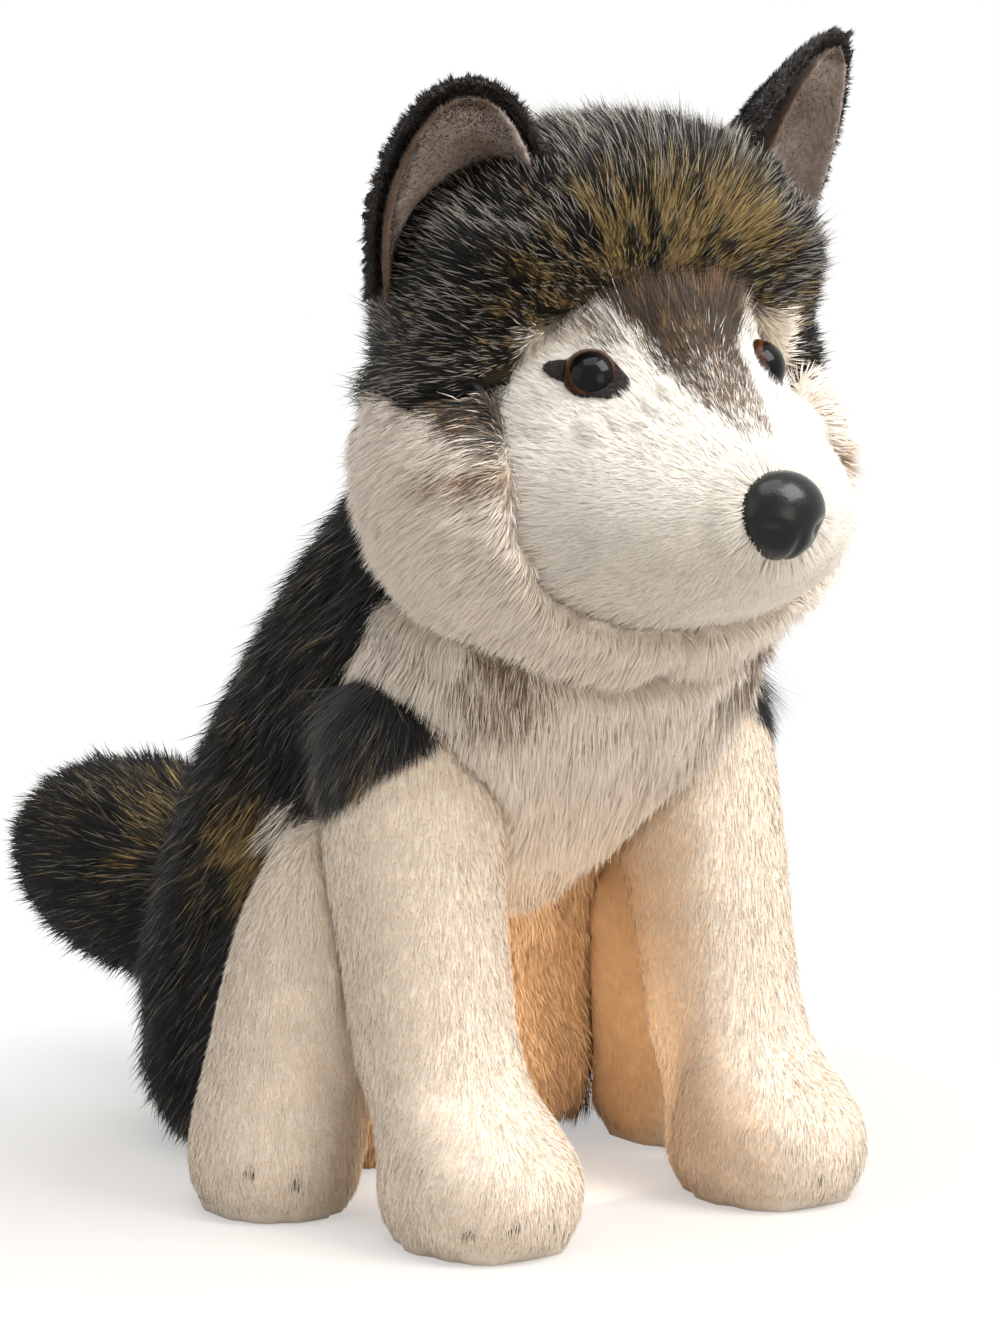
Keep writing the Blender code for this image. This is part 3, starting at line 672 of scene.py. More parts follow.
@dataclass
class Coat:
    """How the pile of one piece grows and is marked."""

    node: str
    slot: str
    finish: str
    triangles: int
    width: float
    bent: bool
    size: Callable
    flow: Callable
    marks: Callable
    lay: float = 0.6
    droop: float = 0.1
    wander: float = 0.25
    clump: float = 0.4
    clump_of: int = 12
    skin_inset: float = 0.004
    skin_step: float = 0.0050
    skin_rounds: int = 5
    skin_kept: float = 1.0
    reshape: Callable = None
    seam_size: float = 0.6
    seat_reach: float = 0.0025
    guard: float = 0.0
    shade: Callable = None
    stiff: float = 0.62
    fill: float = 0.9
    blended: bool = False
    seed: int = 1

    def lit(self, points):
        """How pale the fibres of some roots are: less where warm shade is painted between the legs.
        """
        return np.ones(len(points)) if self.shade is None else 1 - self.shade(points)


def scatter(mesh, openness, free, count, rng):
    """Random roots over the open part of a skin, each with the skin's normal and free share."""
    mesh.calc_loop_triangles()
    corners = array_of(mesh.loop_triangles, "vertices", 3, np.int32)
    points = corner_points(mesh)
    normals = corner_normals(mesh)
    first, second, third = (points[corners[:, place]] for place in range(3))
    area = np.linalg.norm(np.cross(second - first, third - first), axis=1) / 2
    weight = area * openness[corners].mean(axis=1)
    chosen = rng.choice(len(corners), count, p=weight / weight.sum())
    one = np.sqrt(rng.random(count))
    two = rng.random(count)
    shares = np.stack([1 - one, one * (1 - two), one * two], axis=1)[:, :, None]
    picked = corners[chosen]
    return ((points[picked] * shares).sum(axis=1), unit((normals[picked] * shares).sum(axis=1)),
            (free[picked] * shares[:, :, 0]).sum(axis=1))


# How much single fibres differ from their neighbours
SWIRL_SIZE = 0.016
SMALL_SWIRL_SIZE = 0.005
GUARD_TONES = (0.84, 0.90)
LENGTH_RANGE = (0.72, 1.12)
WIDTH_RANGE = (0.7, 1.15)
STRAY = 0.10
PULL_RANGE = (0.5, 1.2)
MIDDLE_PULL = 0.3
MOST_TWIST = 0.7
TIP_TOWARD = 0.35
TIP_WANDER = 0.8
LEAN_STRAY = 0.16
LEAST_LEAN_STRAY = 0.01


def grown_fibres(coat, roots, normals, free, tone, rng):
    """The middle and the tip of each fibre, and the way it leaves its root.

    Fibres of high tone are the guard hairs, which stand out of the rest.
    """
    count = len(roots)
    toward = unit(along(coat.flow(roots), normals))
    swirl = (drift(roots, SWIRL_SIZE, coat.seed) * 0.6
             + drift(roots, SMALL_SWIRL_SIZE, coat.seed + 3) * 0.4)
    stray = rng.normal(0.0, 1.0, (count, 3))
    seam = coat.seam_size + (1 - coat.seam_size) * free
    guard = 1 + coat.guard * ramp(tone, *GUARD_TONES)
    sizes = (coat.size(roots) * seam * guard * rng.uniform(*LENGTH_RANGE, count))[:, None]
    start_way = unit(normals * (1 - coat.lay) + toward * coat.lay
                     + coat.wander * swirl + stray * STRAY)
    fall = np.array([0.0, 0.0, -1.0])
    end_way = unit(start_way + toward * TIP_TOWARD + fall * coat.droop
                   + coat.wander * TIP_WANDER * swirl + stray * STRAY)
    middles = roots + start_way * sizes * 0.5
    tips = middles + end_way * sizes * 0.5
    leaders = rng.choice(count, max(count // coat.clump_of, 1), replace=False)
    tree = KDTree(len(leaders))
    for index, leader in enumerate(leaders):
        tree.insert(roots[leader], index)
    tree.balance()
    nearest = leaders[np.array([tree.find(root)[1] for root in roots])]
    pull = coat.clump * rng.uniform(*PULL_RANGE, count)[:, None]
    tips += (tips[nearest] - tips) * pull
    middles += (middles[nearest] - middles) * pull * MIDDLE_PULL
    for row in (middles, tips):
        row[:, 2] = np.maximum(row[:, 2], SOLE_HEIGHT)
    return middles, tips, start_way


def blade_mesh(name, coat, roots, normals, middles, tips, way, rng):
    """One mesh of thin blades, each facing out from the skin and narrowing to its tip."""
    count = len(roots)
    side = unit(np.cross(way, normals))
    twist = rng.uniform(-MOST_TWIST, MOST_TWIST, count)[:, None]
    side = side * np.cos(twist) + np.cross(way, side) * np.sin(twist)
    half = side * (coat.width / 2 * rng.uniform(*WIDTH_RANGE, count))[:, None]
    if coat.bent:
        rows = [roots, middles - half, middles + half, tips]
        faces = ((0, 2, 1), (1, 2, 3))
        places = (0.0, 0.5, 0.5, 1.0)
    else:
        rows = [roots - half, roots + half, tips]
        faces = ((0, 1, 2),)
        places = (0.0, 0.0, 1.0)
    step = len(rows)
    points = np.stack(rows, axis=1).reshape(-1, 3)
    pattern = np.array(faces)
    corners = (np.arange(count)[:, None, None] * step + pattern[None]).reshape(-1, 3)
    mesh = bpy.data.meshes.new(name)
    mesh.vertices.add(len(points))
    mesh.vertices.foreach_set("co", points.astype(np.float32).ravel())
    mesh.loops.add(corners.size)
    mesh.loops.foreach_set("vertex_index", corners.astype(np.int32).ravel())
    mesh.polygons.add(len(corners))
    mesh.polygons.foreach_set("loop_start", np.arange(0, corners.size, 3, dtype=np.int32))
    mesh.update(calc_edges=True)
    mesh.shade_smooth()
    face_way = unit(np.cross(side, way))
    lean = unit(normals * coat.stiff + face_way * (1 - coat.stiff)
                + rng.normal(0.0, LEAN_STRAY * (1 - coat.stiff) + LEAST_LEAN_STRAY, (count, 3)))
    mesh.normals_split_custom_set_from_vertices(np.repeat(lean, step, axis=0))
    return mesh, step, np.tile(places, count)


def write_markings(mesh, dark, accent, tone, place):
    """Keep the shares that the pile material reads, for each corner."""
    layer = mesh.attributes.new("markings", "FLOAT_COLOR", "POINT")
    values = np.stack([dark, accent, tone, place], axis=1)
    layer.data.foreach_set("color", np.clip(values, 0.0, 1.0).astype(np.float32).ravel())


# The flat map for baking: its border, its height and the strip that a fibre takes
MAP_BORDER = 0.02
MAP_HEIGHT = 0.94
MAP_FIBRE = 0.004


def write_map(mesh, points, places):
    """A flat map for baking: round the piece and up it, with each fibre a thin strip."""
    middle = points.mean(axis=0)
    turn = np.arctan2(points[:, 0] - middle[0], -(points[:, 1] - middle[1])) / (2 * math.pi) + 0.5
    low = points[:, 2].min()
    rise = (points[:, 2] - low) / max(points[:, 2].max() - low, 1e-6)
    spots = np.stack([MAP_BORDER + (1 - 2 * MAP_BORDER) * turn,
                      MAP_BORDER + MAP_HEIGHT * rise + MAP_FIBRE * places], axis=1)
    corners = array_of(mesh.loops, "vertex_index", 1, np.int32)[:, 0]
    layer = mesh.uv_layers.new(name="OFBake")
    layer.data.foreach_set("uv", spots[corners].astype(np.float32).ravel())


def dress(piece, node):
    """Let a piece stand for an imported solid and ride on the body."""
    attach(piece, BODY)
    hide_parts(node)


DARK_LOW = 0.15
DARK_HIGH = 0.85
ACCENT_LOW = 0.2
ACCENT_HIGH = 0.75


def split_fibres(share_of, rng, low, high):
    """Each fibre wholly one colour or the other, as often as the share at its root says."""
    return np.where(rng.random(len(share_of)) < share_of, high + (1 - high) * share_of,
                    share_of * low)


def grow_pile(coat, skin, openness, free):
    """The pile of one piece, over its skin."""
    rng = np.random.default_rng(coat.seed)
    count = coat.triangles // (2 if coat.bent else 1)
    roots, normals, free_share = scatter(skin.data, openness, free, count, rng)
    tone = rng.random(count)
    middles, tips, way = grown_fibres(coat, roots, normals, free_share, tone, rng)
    mesh, step, places = blade_mesh(coat.node + "_pile", coat, roots, normals, middles, tips,
                                    way, rng)
    dark, accent = coat.marks(roots)
    if not coat.blended:
        dark = split_fibres(dark, rng, DARK_LOW, DARK_HIGH)
        accent = split_fibres(accent, rng, ACCENT_LOW, ACCENT_HIGH)
    # Where the coat paints warm shade, its fibres take more of their root colour
    write_markings(mesh, np.repeat(dark, step), np.repeat(accent, step),
                   np.repeat(tone, step), places * np.repeat(coat.lit(roots), step))
    write_map(mesh, corner_points(mesh), places)
    mesh.materials.append(pile(coat.finish))
    fibres = placed(coat.node + "_pile", mesh)
    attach(fibres, BODY)


def grow_coat(coat):
    """The stuffed skin and the pile of one piece."""
    skin, free = stuffed_skin(coat)
    openness = open_share(coat.node, skin.data, coat.seat_reach)
    points = corner_points(skin.data)
    dark, accent = coat.marks(points)
    # The skin takes the colour found partway along a fibre, less where warm shade is painted
    write_markings(skin.data, dark, accent, np.full(len(points), SKIN_TONE),
                   SKIN_PLACE * coat.lit(points))
    skin.data.materials.clear()
    skin.data.materials.append(pile(coat.finish))
    dress(skin, coat.node)
    grow_pile(coat, skin, openness, free)


# Where the pile lies and how it is marked, from places measured on the wolf

BROW = np.array([0.0, -0.200, 0.285])
MUZZLE = np.array([0.0, -0.236, 0.250])


def from_point(point, fall):
    """A flow away from one point, drawn down by a share."""
    def flow(points):
        way = unit(points - point)
        way[:, 2] -= fall
        return way
    return flow


def straight(x, y, z):
    """A flow the same way everywhere, as the fabric was brushed."""
    def flow(points):
        return np.tile(np.array([x, y, z], float), (len(points), 1))
    return flow


def belly_share(points):
    """One on the ivory belly between the legs."""
    belly = ramp(ahead(points), 0.010, 0.030) * (1 - ramp(np.abs(points[:, 0]), 0.050, 0.066))
    return belly * (1 - ramp(points[:, 2], 0.16, 0.19))


def body_marks(points):
    """Dark back and flanks, tan on the haunch, and an ivory belly between the legs."""
    patch = mottle(points, 0.014, 11)
    belly = belly_share(points)
    tuft = spot(points, "flank tuft")
    pale = np.maximum(belly, 0.85 * tuft)
    haunch = spot(points, "haunch")
    tan = np.maximum(0.10 * ramp(patch, 0.1, 0.7), 0.75 * haunch * ramp(patch, -0.5, 0.3))
    return 1 - pale, tan * (1 - pale)


MASK_EDGE_LEFT = 0.059
MASK_EDGE_RIGHT = 0.051


def head_marks(points):
    """Charcoal crown and temples, gold streaks fanning up from the brow."""
    streak = streaked(points, BROW, 0.0030, 0.034, 21)
    patch = mottle(points, 0.012, 22)
    across = np.abs(points[:, 0])
    crown = 1 - ramp(across + 0.010 * patch, 0.024, 0.056)
    crown *= ramp(ahead(points), 0.146, 0.170) * ramp(points[:, 2] + 0.003 * patch, 0.310, 0.325)
    crown *= 1 - ramp(points[:, 2] + 0.005 * patch, 0.332, 0.356)
    brow = spot(points, "brow corner")
    tan = np.maximum(0.95 * crown * ramp(streak + 0.4 * patch, -0.6, 0.4),
                     0.65 * brow * ramp(streak, -0.5, 0.4))
    tan = np.maximum(tan, 0.07 * ramp(patch, 0.1, 0.7))
    edge = np.where(points[:, 0] > 0, MASK_EDGE_LEFT, MASK_EDGE_RIGHT) + 0.002 * patch
    mask = ramp(ahead(points), 0.158, 0.164) * (1 - ramp(across, edge - 0.003, edge + 0.003))
    mask *= 1 - ramp(points[:, 2] + 0.003 * patch, 0.299, 0.308)
    return 1 - mask, tan * (1 - mask)


def face_marks(points):
    """Off-white mask; a brown brow runs down the bridge of the muzzle, mottled to a point."""
    across = np.abs(points[:, 0])
    height = points[:, 2]
    grain = mottle(points, 0.006, 31)
    half = 0.005 + 0.012 * ramp(height, 0.270, 0.292) + 0.015 * ramp(height, 0.294, 0.312)
    edge = 1 - ramp(across + 0.003 * grain, half * 0.75, half + 0.004)
    low = ramp(ahead(points), 0.190, 0.222)
    bridge = edge * (1 - ramp(ahead(points) + 0.005 * grain, 0.214, 0.232))
    bridge *= ramp(height, 0.262, 0.272)
    spots = 1 - 0.50 * low * (1 - ramp(mottle(points, 0.004, 33), -0.35, 0.3))
    top = ramp(height + 0.002 * grain, 0.304, 0.310)
    dark = np.maximum(bridge * spots * (1 - 0.35 * low), top)
    dark = np.maximum(dark, 0.4 * spot(points, "eyelid"))
    tan = dark * np.maximum(0.75 * low, 0.55 * ramp(mottle(points, 0.005, 35), -0.1, 0.5))
    return dark, np.maximum(tan, 0.45 * spot(points, "temple"))


def ruff_marks(points):
    """Cream cheeks with a brown streak from the mask's edge and a dark edge at the temple."""
    across = np.abs(points[:, 0])
    grain = mottle(points, 0.006, 41)
    streak = np.exp(-((points[:, 2] - 0.257) / 0.0045) ** 2)
    streak *= ramp(across, 0.054, 0.060) * (1 - ramp(across, 0.076, 0.086))
    streak *= ramp(ahead(points), 0.138, 0.150)
    edge = 0.279 - 0.60 * (ahead(points) - 0.154) + 0.003 * grain
    edge += np.where(points[:, 0] > 0, 0.020, 0.0) * ramp(ahead(points), 0.155, 0.165)
    temple = ramp(points[:, 2], edge - 0.004, edge + 0.004)
    fringe = temple * (1 - ramp(points[:, 2], edge + 0.003, edge + 0.012))
    return 0.95 * temple, np.maximum(0.75 * streak, 0.30 * fringe)


def chest_marks(points):
    """Cream chest with a brown smudge each side below the jaw, dark at the far shoulder."""
    grain = mottle(points, 0.008, 51)
    smudge = spot(points, "jaw smudge") * ramp(grain, -0.9, 0.1)
    rear = spot(points, "rear of the chest")
    return np.maximum(0.28 * smudge, rear), 0.65 * smudge


def toe_marks(points, leg):
    """The small airbrushed marks on the front of a paw."""
    marks = np.zeros(len(points))
    for spot in TOE_SPOTS[leg]:
        marks = np.maximum(marks, near(folded(points), spot, TOE_SPOT_RADIUS))
    return marks


def shoulder_edge(points):
    """Height of the line on a foreleg above which its coat is dark."""
    out = 0.090 - np.abs(points[:, 0])
    return 0.134 + 0.50 * (ahead(points) - 0.105) + 0.55 * out


def foreleg_marks(points):
    """Ivory leg under a dark shoulder whose edge rises towards the front."""
    grain = mottle(points, 0.012, 61)
    edge = shoulder_edge(points) + 0.004 * grain
    dark = ramp(points[:, 2], edge, edge + 0.008)
    tan = dark * 0.4 * ramp(grain, -0.2, 0.5) * (1 - ramp(points[:, 2], edge + 0.015, edge + 0.03))
    return np.maximum(dark, 0.9 * toe_marks(points, "foreleg")), tan


def hind_leg_marks(points):
    """Ivory leg with a tan edge where it meets the flank."""
    grain = mottle(points, 0.010, 71)
    back = ramp(-ahead(points) + 0.35 * (points[:, 2] - 0.10) + 0.004 * grain, -0.052, -0.040)
    dark = back * ramp(points[:, 2], 0.060, 0.085)
    return np.maximum(dark, 0.9 * toe_marks(points, "hind_leg")), 0.8 * dark


def tail_marks(points):
    """Dark tail with gold bands over its root."""
    patch = mottle(points, 0.016, 81)
    band = ramp(points[:, 2], 0.070, 0.095) * (1 - ramp(points[:, 1], 0.120, 0.165))
    return np.ones(len(points)), np.maximum(0.35 * band * ramp(patch, -0.3, 0.5),
                                            0.10 * ramp(patch, 0.2, 0.8))


EAR_TURN = math.radians(24)
EAR_LEAN_OUT = math.radians(9)
EAR_LEAN_AHEAD = math.radians(20)
EAR_LEVELS = 12
EAR_BASE_SPREAD = {"right": 0.0, "left": 0.009}
EAR_HOLLOW = 0.009


def ear_opening(side):
    """The level way that an ear's cup opens."""
    return SIDES[side] * math.sin(EAR_TURN), -math.cos(EAR_TURN), 0.0


def ear_places(side):
    """The across and up directions of an ear, and its lining's middle in the frame."""
    up = Vector((SIDES[side] * math.sin(EAR_LEAN_OUT), -math.sin(EAR_LEAN_AHEAD), 1)).normalized()
    across = up.cross(Vector(ear_opening(side))).normalized()
    points = corner_points(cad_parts["ear_lining_" + side].data)
    return np.array(across), np.array(up), points.mean(axis=0)


def ear_edge_gaps(side, spread=1.0):
    """A function giving how far points of an ear lie from its two sides and from its tip."""
    across, up, middle = ear_places(side)
    corners = corner_points(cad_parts["ear_lining_" + side].data) - middle
    heights = corners @ up
    steps = np.linspace(heights.min(), heights.max(), EAR_LEVELS)
    low = np.empty(EAR_LEVELS)
    high = np.empty(EAR_LEVELS)
    for level, height in enumerate(steps):
        row = np.abs(heights - height) < (steps[1] - steps[0]) * 1.5
        low[level] = (corners[row] @ across).min() * spread
        high[level] = (corners[row] @ across).max() * spread

    def gaps(points):
        spots = points - middle
        height = spots @ up
        place = spots @ across
        return (place - np.interp(height, steps, low), np.interp(height, steps, high) - place,
                heights.max() - height)
    return gaps


def lining_marks(side):
    """Taupe lining, mottled brown along its right-hand edge and tip, paler low down."""
    gaps = ear_edge_gaps(side, features().lining_spread)

    def marks(points):
        from_right, from_left, from_tip = gaps(points)
        grain = mottle(points, 0.005, 91)
        band = features().ear_band
        rim = 1 - ramp(from_right + 0.002 * grain, band * 0.7, band * 1.2)
        rim = np.maximum(rim, 1 - ramp(from_tip + 0.002 * grain, band * 0.5, band * 1.1))
        rim = np.maximum(rim, 1 - ramp(from_left, 0.0008, 0.0028))
        # Darker in the hollow of the cup: partly the velour's own brown, partly painted shade
        hollow_brown_and_shade = 0.6 * near(np.stack([from_left, from_tip, 0 * grain], axis=1),
                            (0.016, 0.026, 0.0), 0.013)
        pale = (1 - ramp(from_right, 0.014, 0.026)) * ramp(from_tip, 0.022, 0.040)
        return np.maximum(rim, hollow_brown_and_shade), 0.45 * pale * (1 - rim)
    return marks


def wide_lining(side):
    """A reshaping that spreads a lining across its cup, nearly to the rim."""
    across, _, middle = ear_places(side)

    def reshape(points):
        place = (points - middle) @ across
        return points + across * (place * (features().lining_spread - 1))[:, None]
    return reshape


def wide_base(side):
    """A reshaping that broadens the left ear towards the crown, low down."""
    across, up, middle = ear_places(side)
    spread = EAR_BASE_SPREAD[side]

    def reshape(points):
        spots = points - middle
        inward = -SIDES[side] * (spots @ across)
        height = spots @ up
        share_low = 1 - ramp(height, height.min() * 0.5, height.max() * 0.7)
        part = spread * ramp(inward, 0.002, 0.018) * share_low
        return points - across * (SIDES[side] * part)[:, None]
    return reshape


def ear_back_marks(side):
    """Near black outside; mottled brown and tan on the rim round the lining."""
    gaps = ear_edge_gaps(side)

    def marks(points):
        inside = 1 - ramp(gap_to("ear_lining_" + side, points, 0.012), 0.0042, 0.0062)
        rim = inside * ramp(gaps(points)[1], -0.001, 0.004)
        grain = ramp(mottle(points, 0.004, 95), -0.5, 0.3)
        return np.ones(len(points)), np.maximum(0.85 * rim * grain, 0.12)
    return marks


def plain_marks(points):
    return np.ones(len(points)), np.zeros(len(points))


# The share of its length that pile keeps or loses where another coat meets it
BELLY_SHORTER = 0.62
BESIDE_FACE = 0.38
BESIDE_EAR = 0.40


def body_size(points):
    """Long on the back and flanks, short on the belly between the legs."""
    return pile_sizes().back_length * (1 - BELLY_SHORTER * belly_share(points))


def head_size(points):
    """Long on the crown, short where the coat meets the face."""
    gap = gap_to("face", points, 0.040)
    clear_of_face = ramp(gap, 0.002, 0.036)
    size = pile_sizes().crown_length * (BESIDE_FACE + (1 - BESIDE_FACE) * clear_of_face)
    for side in SIDES:
        clear_of_ear = ramp(gap_to("ear_lining_" + side, points, 0.034), 0.010, 0.034)
        size *= BESIDE_EAR + (1 - BESIDE_EAR) * clear_of_ear
    return size


def ear_hollows(points):
    """The head drawn down and back in front of each ear, so that the whole lining shows."""
    moved = points.copy()
    for side, sign in SIDES.items():
        gap = gap_to("ear_lining_" + side, points, 0.030)
        depth = EAR_HOLLOW * (1 - ramp(gap, 0.006, 0.030))
        opening = np.array(ear_opening(side))
        in_front = (points - ear_places(side)[2]) @ opening
        depth *= ramp(sign * points[:, 0], 0.030, 0.050) * ramp(in_front, 0.004, 0.016)
        moved[:, 2] -= depth * 0.7
        moved[:, 0] -= sign * depth
    return moved


def inner_shade(points):
    """Painted warm shade on the insides of the legs and on the belly between them."""
    across = np.abs(points[:, 0])
    behind = 1 - ramp(ahead(points), 0.100, 0.125)
    reach = 0.050 + 0.022 * behind
    inside = 1 - ramp(across, reach - 0.014, reach)
    return (0.5 + 0.4 * behind) * inside * (1 - ramp(points[:, 2], 0.12, 0.17))


def fixed_size(metres):
    return lambda points: np.full(len(points), metres)


def face_size(points):
    """Short on the muzzle, shorter by the eyes and nose, longer up the brow and on the cheeks."""
    full = pile_sizes().face_length
    size = full * (0.85 + 1.9 * ramp(points[:, 2], 0.292, 0.314))
    size *= 1 + 0.5 * ramp(np.abs(points[:, 0]), 0.045, 0.064)
    return size * (1 - 0.72 * spot(points, "eye"))


def foreleg_size(points):
    """Short on the leg and long on the dark shoulder."""
    sizes = pile_sizes()
    edge = shoulder_edge(points)
    shoulder = ramp(points[:, 2], edge, edge + 0.024)
    return sizes.leg_length + (sizes.shoulder_length - sizes.leg_length) * shoulder


def hind_leg_size(points):
    sizes = pile_sizes()
    return sizes.leg_length * (1 + 0.4 * ramp(points[:, 2], 0.06, 0.11))


# Operators, one for each piece or group of like pieces

DOWN = -1.0
CLIPPED = {"lay": 0.87, "wander": 0.10, "clump": 0.10, "clump_of": 8, "skin_inset": 0.0018,
           "skin_step": 0.0043, "skin_rounds": 7, "seam_size": 1.3, "stiff": 0.97,
           "shade": inner_shade}


class WolfOperator:
    """What every step of dressing the wolf shares."""

    bl_options = {"REGISTER", "UNDO"}

    def execute(self, context):
        self.make()
        return {"FINISHED"}


class WOLF_OT_body(WolfOperator, bpy.types.Operator):
    """Skin and long pile of the body."""

    bl_idname = "wolf.body"
    bl_label = "Body"

    def make(self):
        sizes = pile_sizes()
        grow_coat(Coat("body", "dark_pile", "dark_acrylic_pile", sizes.body_triangles,
                       sizes.long_width, True, body_size, straight(0.0, 0.45, DOWN), body_marks,
                       lay=0.60, droop=0.15, wander=0.22, clump=0.3, seam_size=1.3,
                       guard=0.35, shade=inner_shade, seed=101))


class WOLF_OT_head(WolfOperator, bpy.types.Operator):
    """Skin and long pile of the crown and the back of the head."""

    bl_idname = "wolf.head"
    bl_label = "Head"

    def make(self):
        sizes = pile_sizes()
        grow_coat(Coat("head", "dark_pile", "silvered_acrylic_pile", sizes.head_triangles,
                       sizes.long_width * 0.80, True, head_size, from_point(BROW, 0.0),
                       head_marks, lay=0.60, droop=0.03, wander=0.16, clump=0.28, seam_size=1.0,
                       reshape=ear_hollows, guard=0.40, seed=102))


class WOLF_OT_face(WolfOperator, bpy.types.Operator):
    """Skin and short pile of the mask and muzzle."""

    bl_idname = "wolf.face"
    bl_label = "Face"

    def make(self):
        sizes = pile_sizes()
        grow_coat(Coat("face", "white_pile", "white_acrylic_pile", sizes.face_triangles,
                       sizes.short_width, False, face_size, from_point(MUZZLE, 0.0), face_marks,
                       lay=0.72, droop=0.0, wander=0.09, clump=0.08, clump_of=8,
                       skin_inset=0.0018, seam_size=2.2, stiff=0.95, seed=103))


class WOLF_OT_ruffs(WolfOperator, bpy.types.Operator):
    """Skins and long silky pile of both cheeks."""

    bl_idname = "wolf.ruffs"
    bl_label = "Cheek ruffs"

    def make(self):
        sizes = pile_sizes()
        for index, side in enumerate(SIDES):
            grow_coat(Coat("cheek_ruff_" + side, "cream_pile", "cream_acrylic_pile",
                           sizes.ruff_triangles, sizes.long_width * 0.8, True,
                           fixed_size(sizes.ruff_length), from_point(MUZZLE, 0.55), ruff_marks,
                           lay=0.72, droop=0.2, wander=0.20, clump=0.32, stiff=0.90,
                           seed=104 + index))


class WOLF_OT_chest(WolfOperator, bpy.types.Operator):
    """Skin and long silky pile of the chest."""

    bl_idname = "wolf.chest"
    bl_label = "Chest"

    def make(self):
        sizes = pile_sizes()
        grow_coat(Coat("chest_tuft", "cream_pile", "cream_acrylic_pile", sizes.chest_triangles,
                       sizes.long_width * 0.8, True, fixed_size(sizes.chest_length),
                       straight(0.0, 0.1, DOWN), chest_marks, lay=0.80, droop=0.25, wander=0.20,
                       clump=0.24, clump_of=20, stiff=0.86, seed=106))


class WOLF_OT_legs(WolfOperator, bpy.types.Operator):
    """Skins and pile of the four legs."""

    bl_idname = "wolf.legs"
    bl_label = "Legs"

    def make(self):
        sizes = pile_sizes()
        for index, side in enumerate(SIDES):
            grow_coat(Coat("foreleg_" + side, "cream_pile", "ivory_acrylic_pile",
                           sizes.foreleg_triangles, sizes.short_width * 1.2, False, foreleg_size,
                           straight(0.0, 0.15, DOWN), foreleg_marks, seed=107 + index,
                           **CLIPPED))
            grow_coat(Coat("hind_leg_" + side, "cream_pile", "ivory_acrylic_pile",
                           sizes.hind_leg_triangles, sizes.short_width * 1.2, False,
                           hind_leg_size, straight(0.0, 0.0, DOWN), hind_leg_marks,
                           seed=109 + index, **CLIPPED))


class WOLF_OT_tail(WolfOperator, bpy.types.Operator):
    """Skin and bushy pile of the tail, which is brushed backwards along it."""

    bl_idname = "wolf.tail"
    bl_label = "Tail"

    def make(self):
        sizes = pile_sizes()
        grow_coat(Coat("tail", "dark_pile", "dark_acrylic_pile", sizes.tail_triangles,
                       sizes.long_width * 1.1, True, fixed_size(sizes.tail_length),
                       straight(0.0, 1.0, -0.15), tail_marks, lay=0.60, droop=0.08, wander=0.26,
                       guard=0.3, seed=111))


class WOLF_OT_ears(WolfOperator, bpy.types.Operator):
    """Furred backs and velour linings of both ears."""

    bl_idname = "wolf.ears"
    bl_label = "Ears"

    def make(self):
        sizes = pile_sizes()
        for index, side in enumerate(SIDES):
            _, up, middle = ear_places(side)
            grow_coat(Coat("ear_back_" + side, "dark_pile", "ear_acrylic_pile",
                           sizes.ear_triangles, sizes.short_width * 1.2, False,
                           fixed_size(sizes.ear_length), from_point(middle, 0.0),
                           ear_back_marks(side), lay=0.5, wander=0.28, clump=0.35, clump_of=9,
                           skin_inset=0.0036, skin_step=0.0018, skin_rounds=2, seam_size=0.9,
                           seat_reach=0.0012, stiff=0.5, reshape=wide_base(side),
                           seed=112 + index))
            grow_coat(Coat("ear_lining_" + side, "ear_velour", "taupe_velour",
                           sizes.lining_triangles, sizes.short_width * 1.2, False,
                           fixed_size(sizes.velour_length), straight(*up), lining_marks(side),
                           lay=0.45, wander=0.18, clump=0.1, clump_of=8, skin_inset=0.0002,
                           skin_step=0.0009, skin_rounds=4, skin_kept=0.25, seam_size=1.0,
                           reshape=wide_lining(side), stiff=0.9, fill=None, blended=True,
                           seed=114 + index))


# The nose, the eyes and their patches
NOSE_SEGMENTS = 72
NOSE_DEPTH = 0.024
NOSE_BROADER_ABOVE = 0.06
NOSE_NARROWER_BELOW = 0.16
NOSTRIL_WAY = (0.66, -0.66, -0.30)
NOSTRIL_SQUASH = 1.35
CLEFT_START = 0.15
CLEFT_WIDTH = 0.0016
CLEFT_DEPTH = 0.0010
EYE_RINGS = 28
EYE_SEGMENTS = 56
EYE_SKIRT = 0.003
PATCH_RINGS = 12
PATCH_SEGMENTS = 64
PATCH_TILT = math.radians(14)
PATCH_CLEAR = 0.0006
PATCH_TONE = 0.4
PATCH_PLACE = 0.3
SUEDE_NAP = 0.0013

# The almond's round part, and how far and how sharply its outer point and inner corner reach
PATCH_ROUND = 0.0086
PATCH_POINT = (0.0078, 22)
PATCH_CORNER = (0.0062, 5)
PATCH_CORNER_TURN = math.radians(22)


class WOLF_OT_eyes(WolfOperator, bpy.types.Operator):
    """Domed plastic eyes on almond patches of black suede."""

    bl_idname = "wolf.eyes"
    bl_label = "Eyes"

    def make(self):
        sizes = pile_sizes()
        for index, side in enumerate(SIDES):
            patch = make_patch(side)
            nap = Coat("eye_patch_" + side, "black_suede", "black_suede_cloth",
                       sizes.patch_triangles, sizes.short_width * 0.8, False,
                       fixed_size(SUEDE_NAP), from_point(BROW, 0.0), plain_marks, lay=0.6,
                       stiff=0.8, seed=116 + index)
            ones = np.ones(len(patch.data.vertices))
            grow_pile(nap, patch, ones, ones)
            make_eye(side)


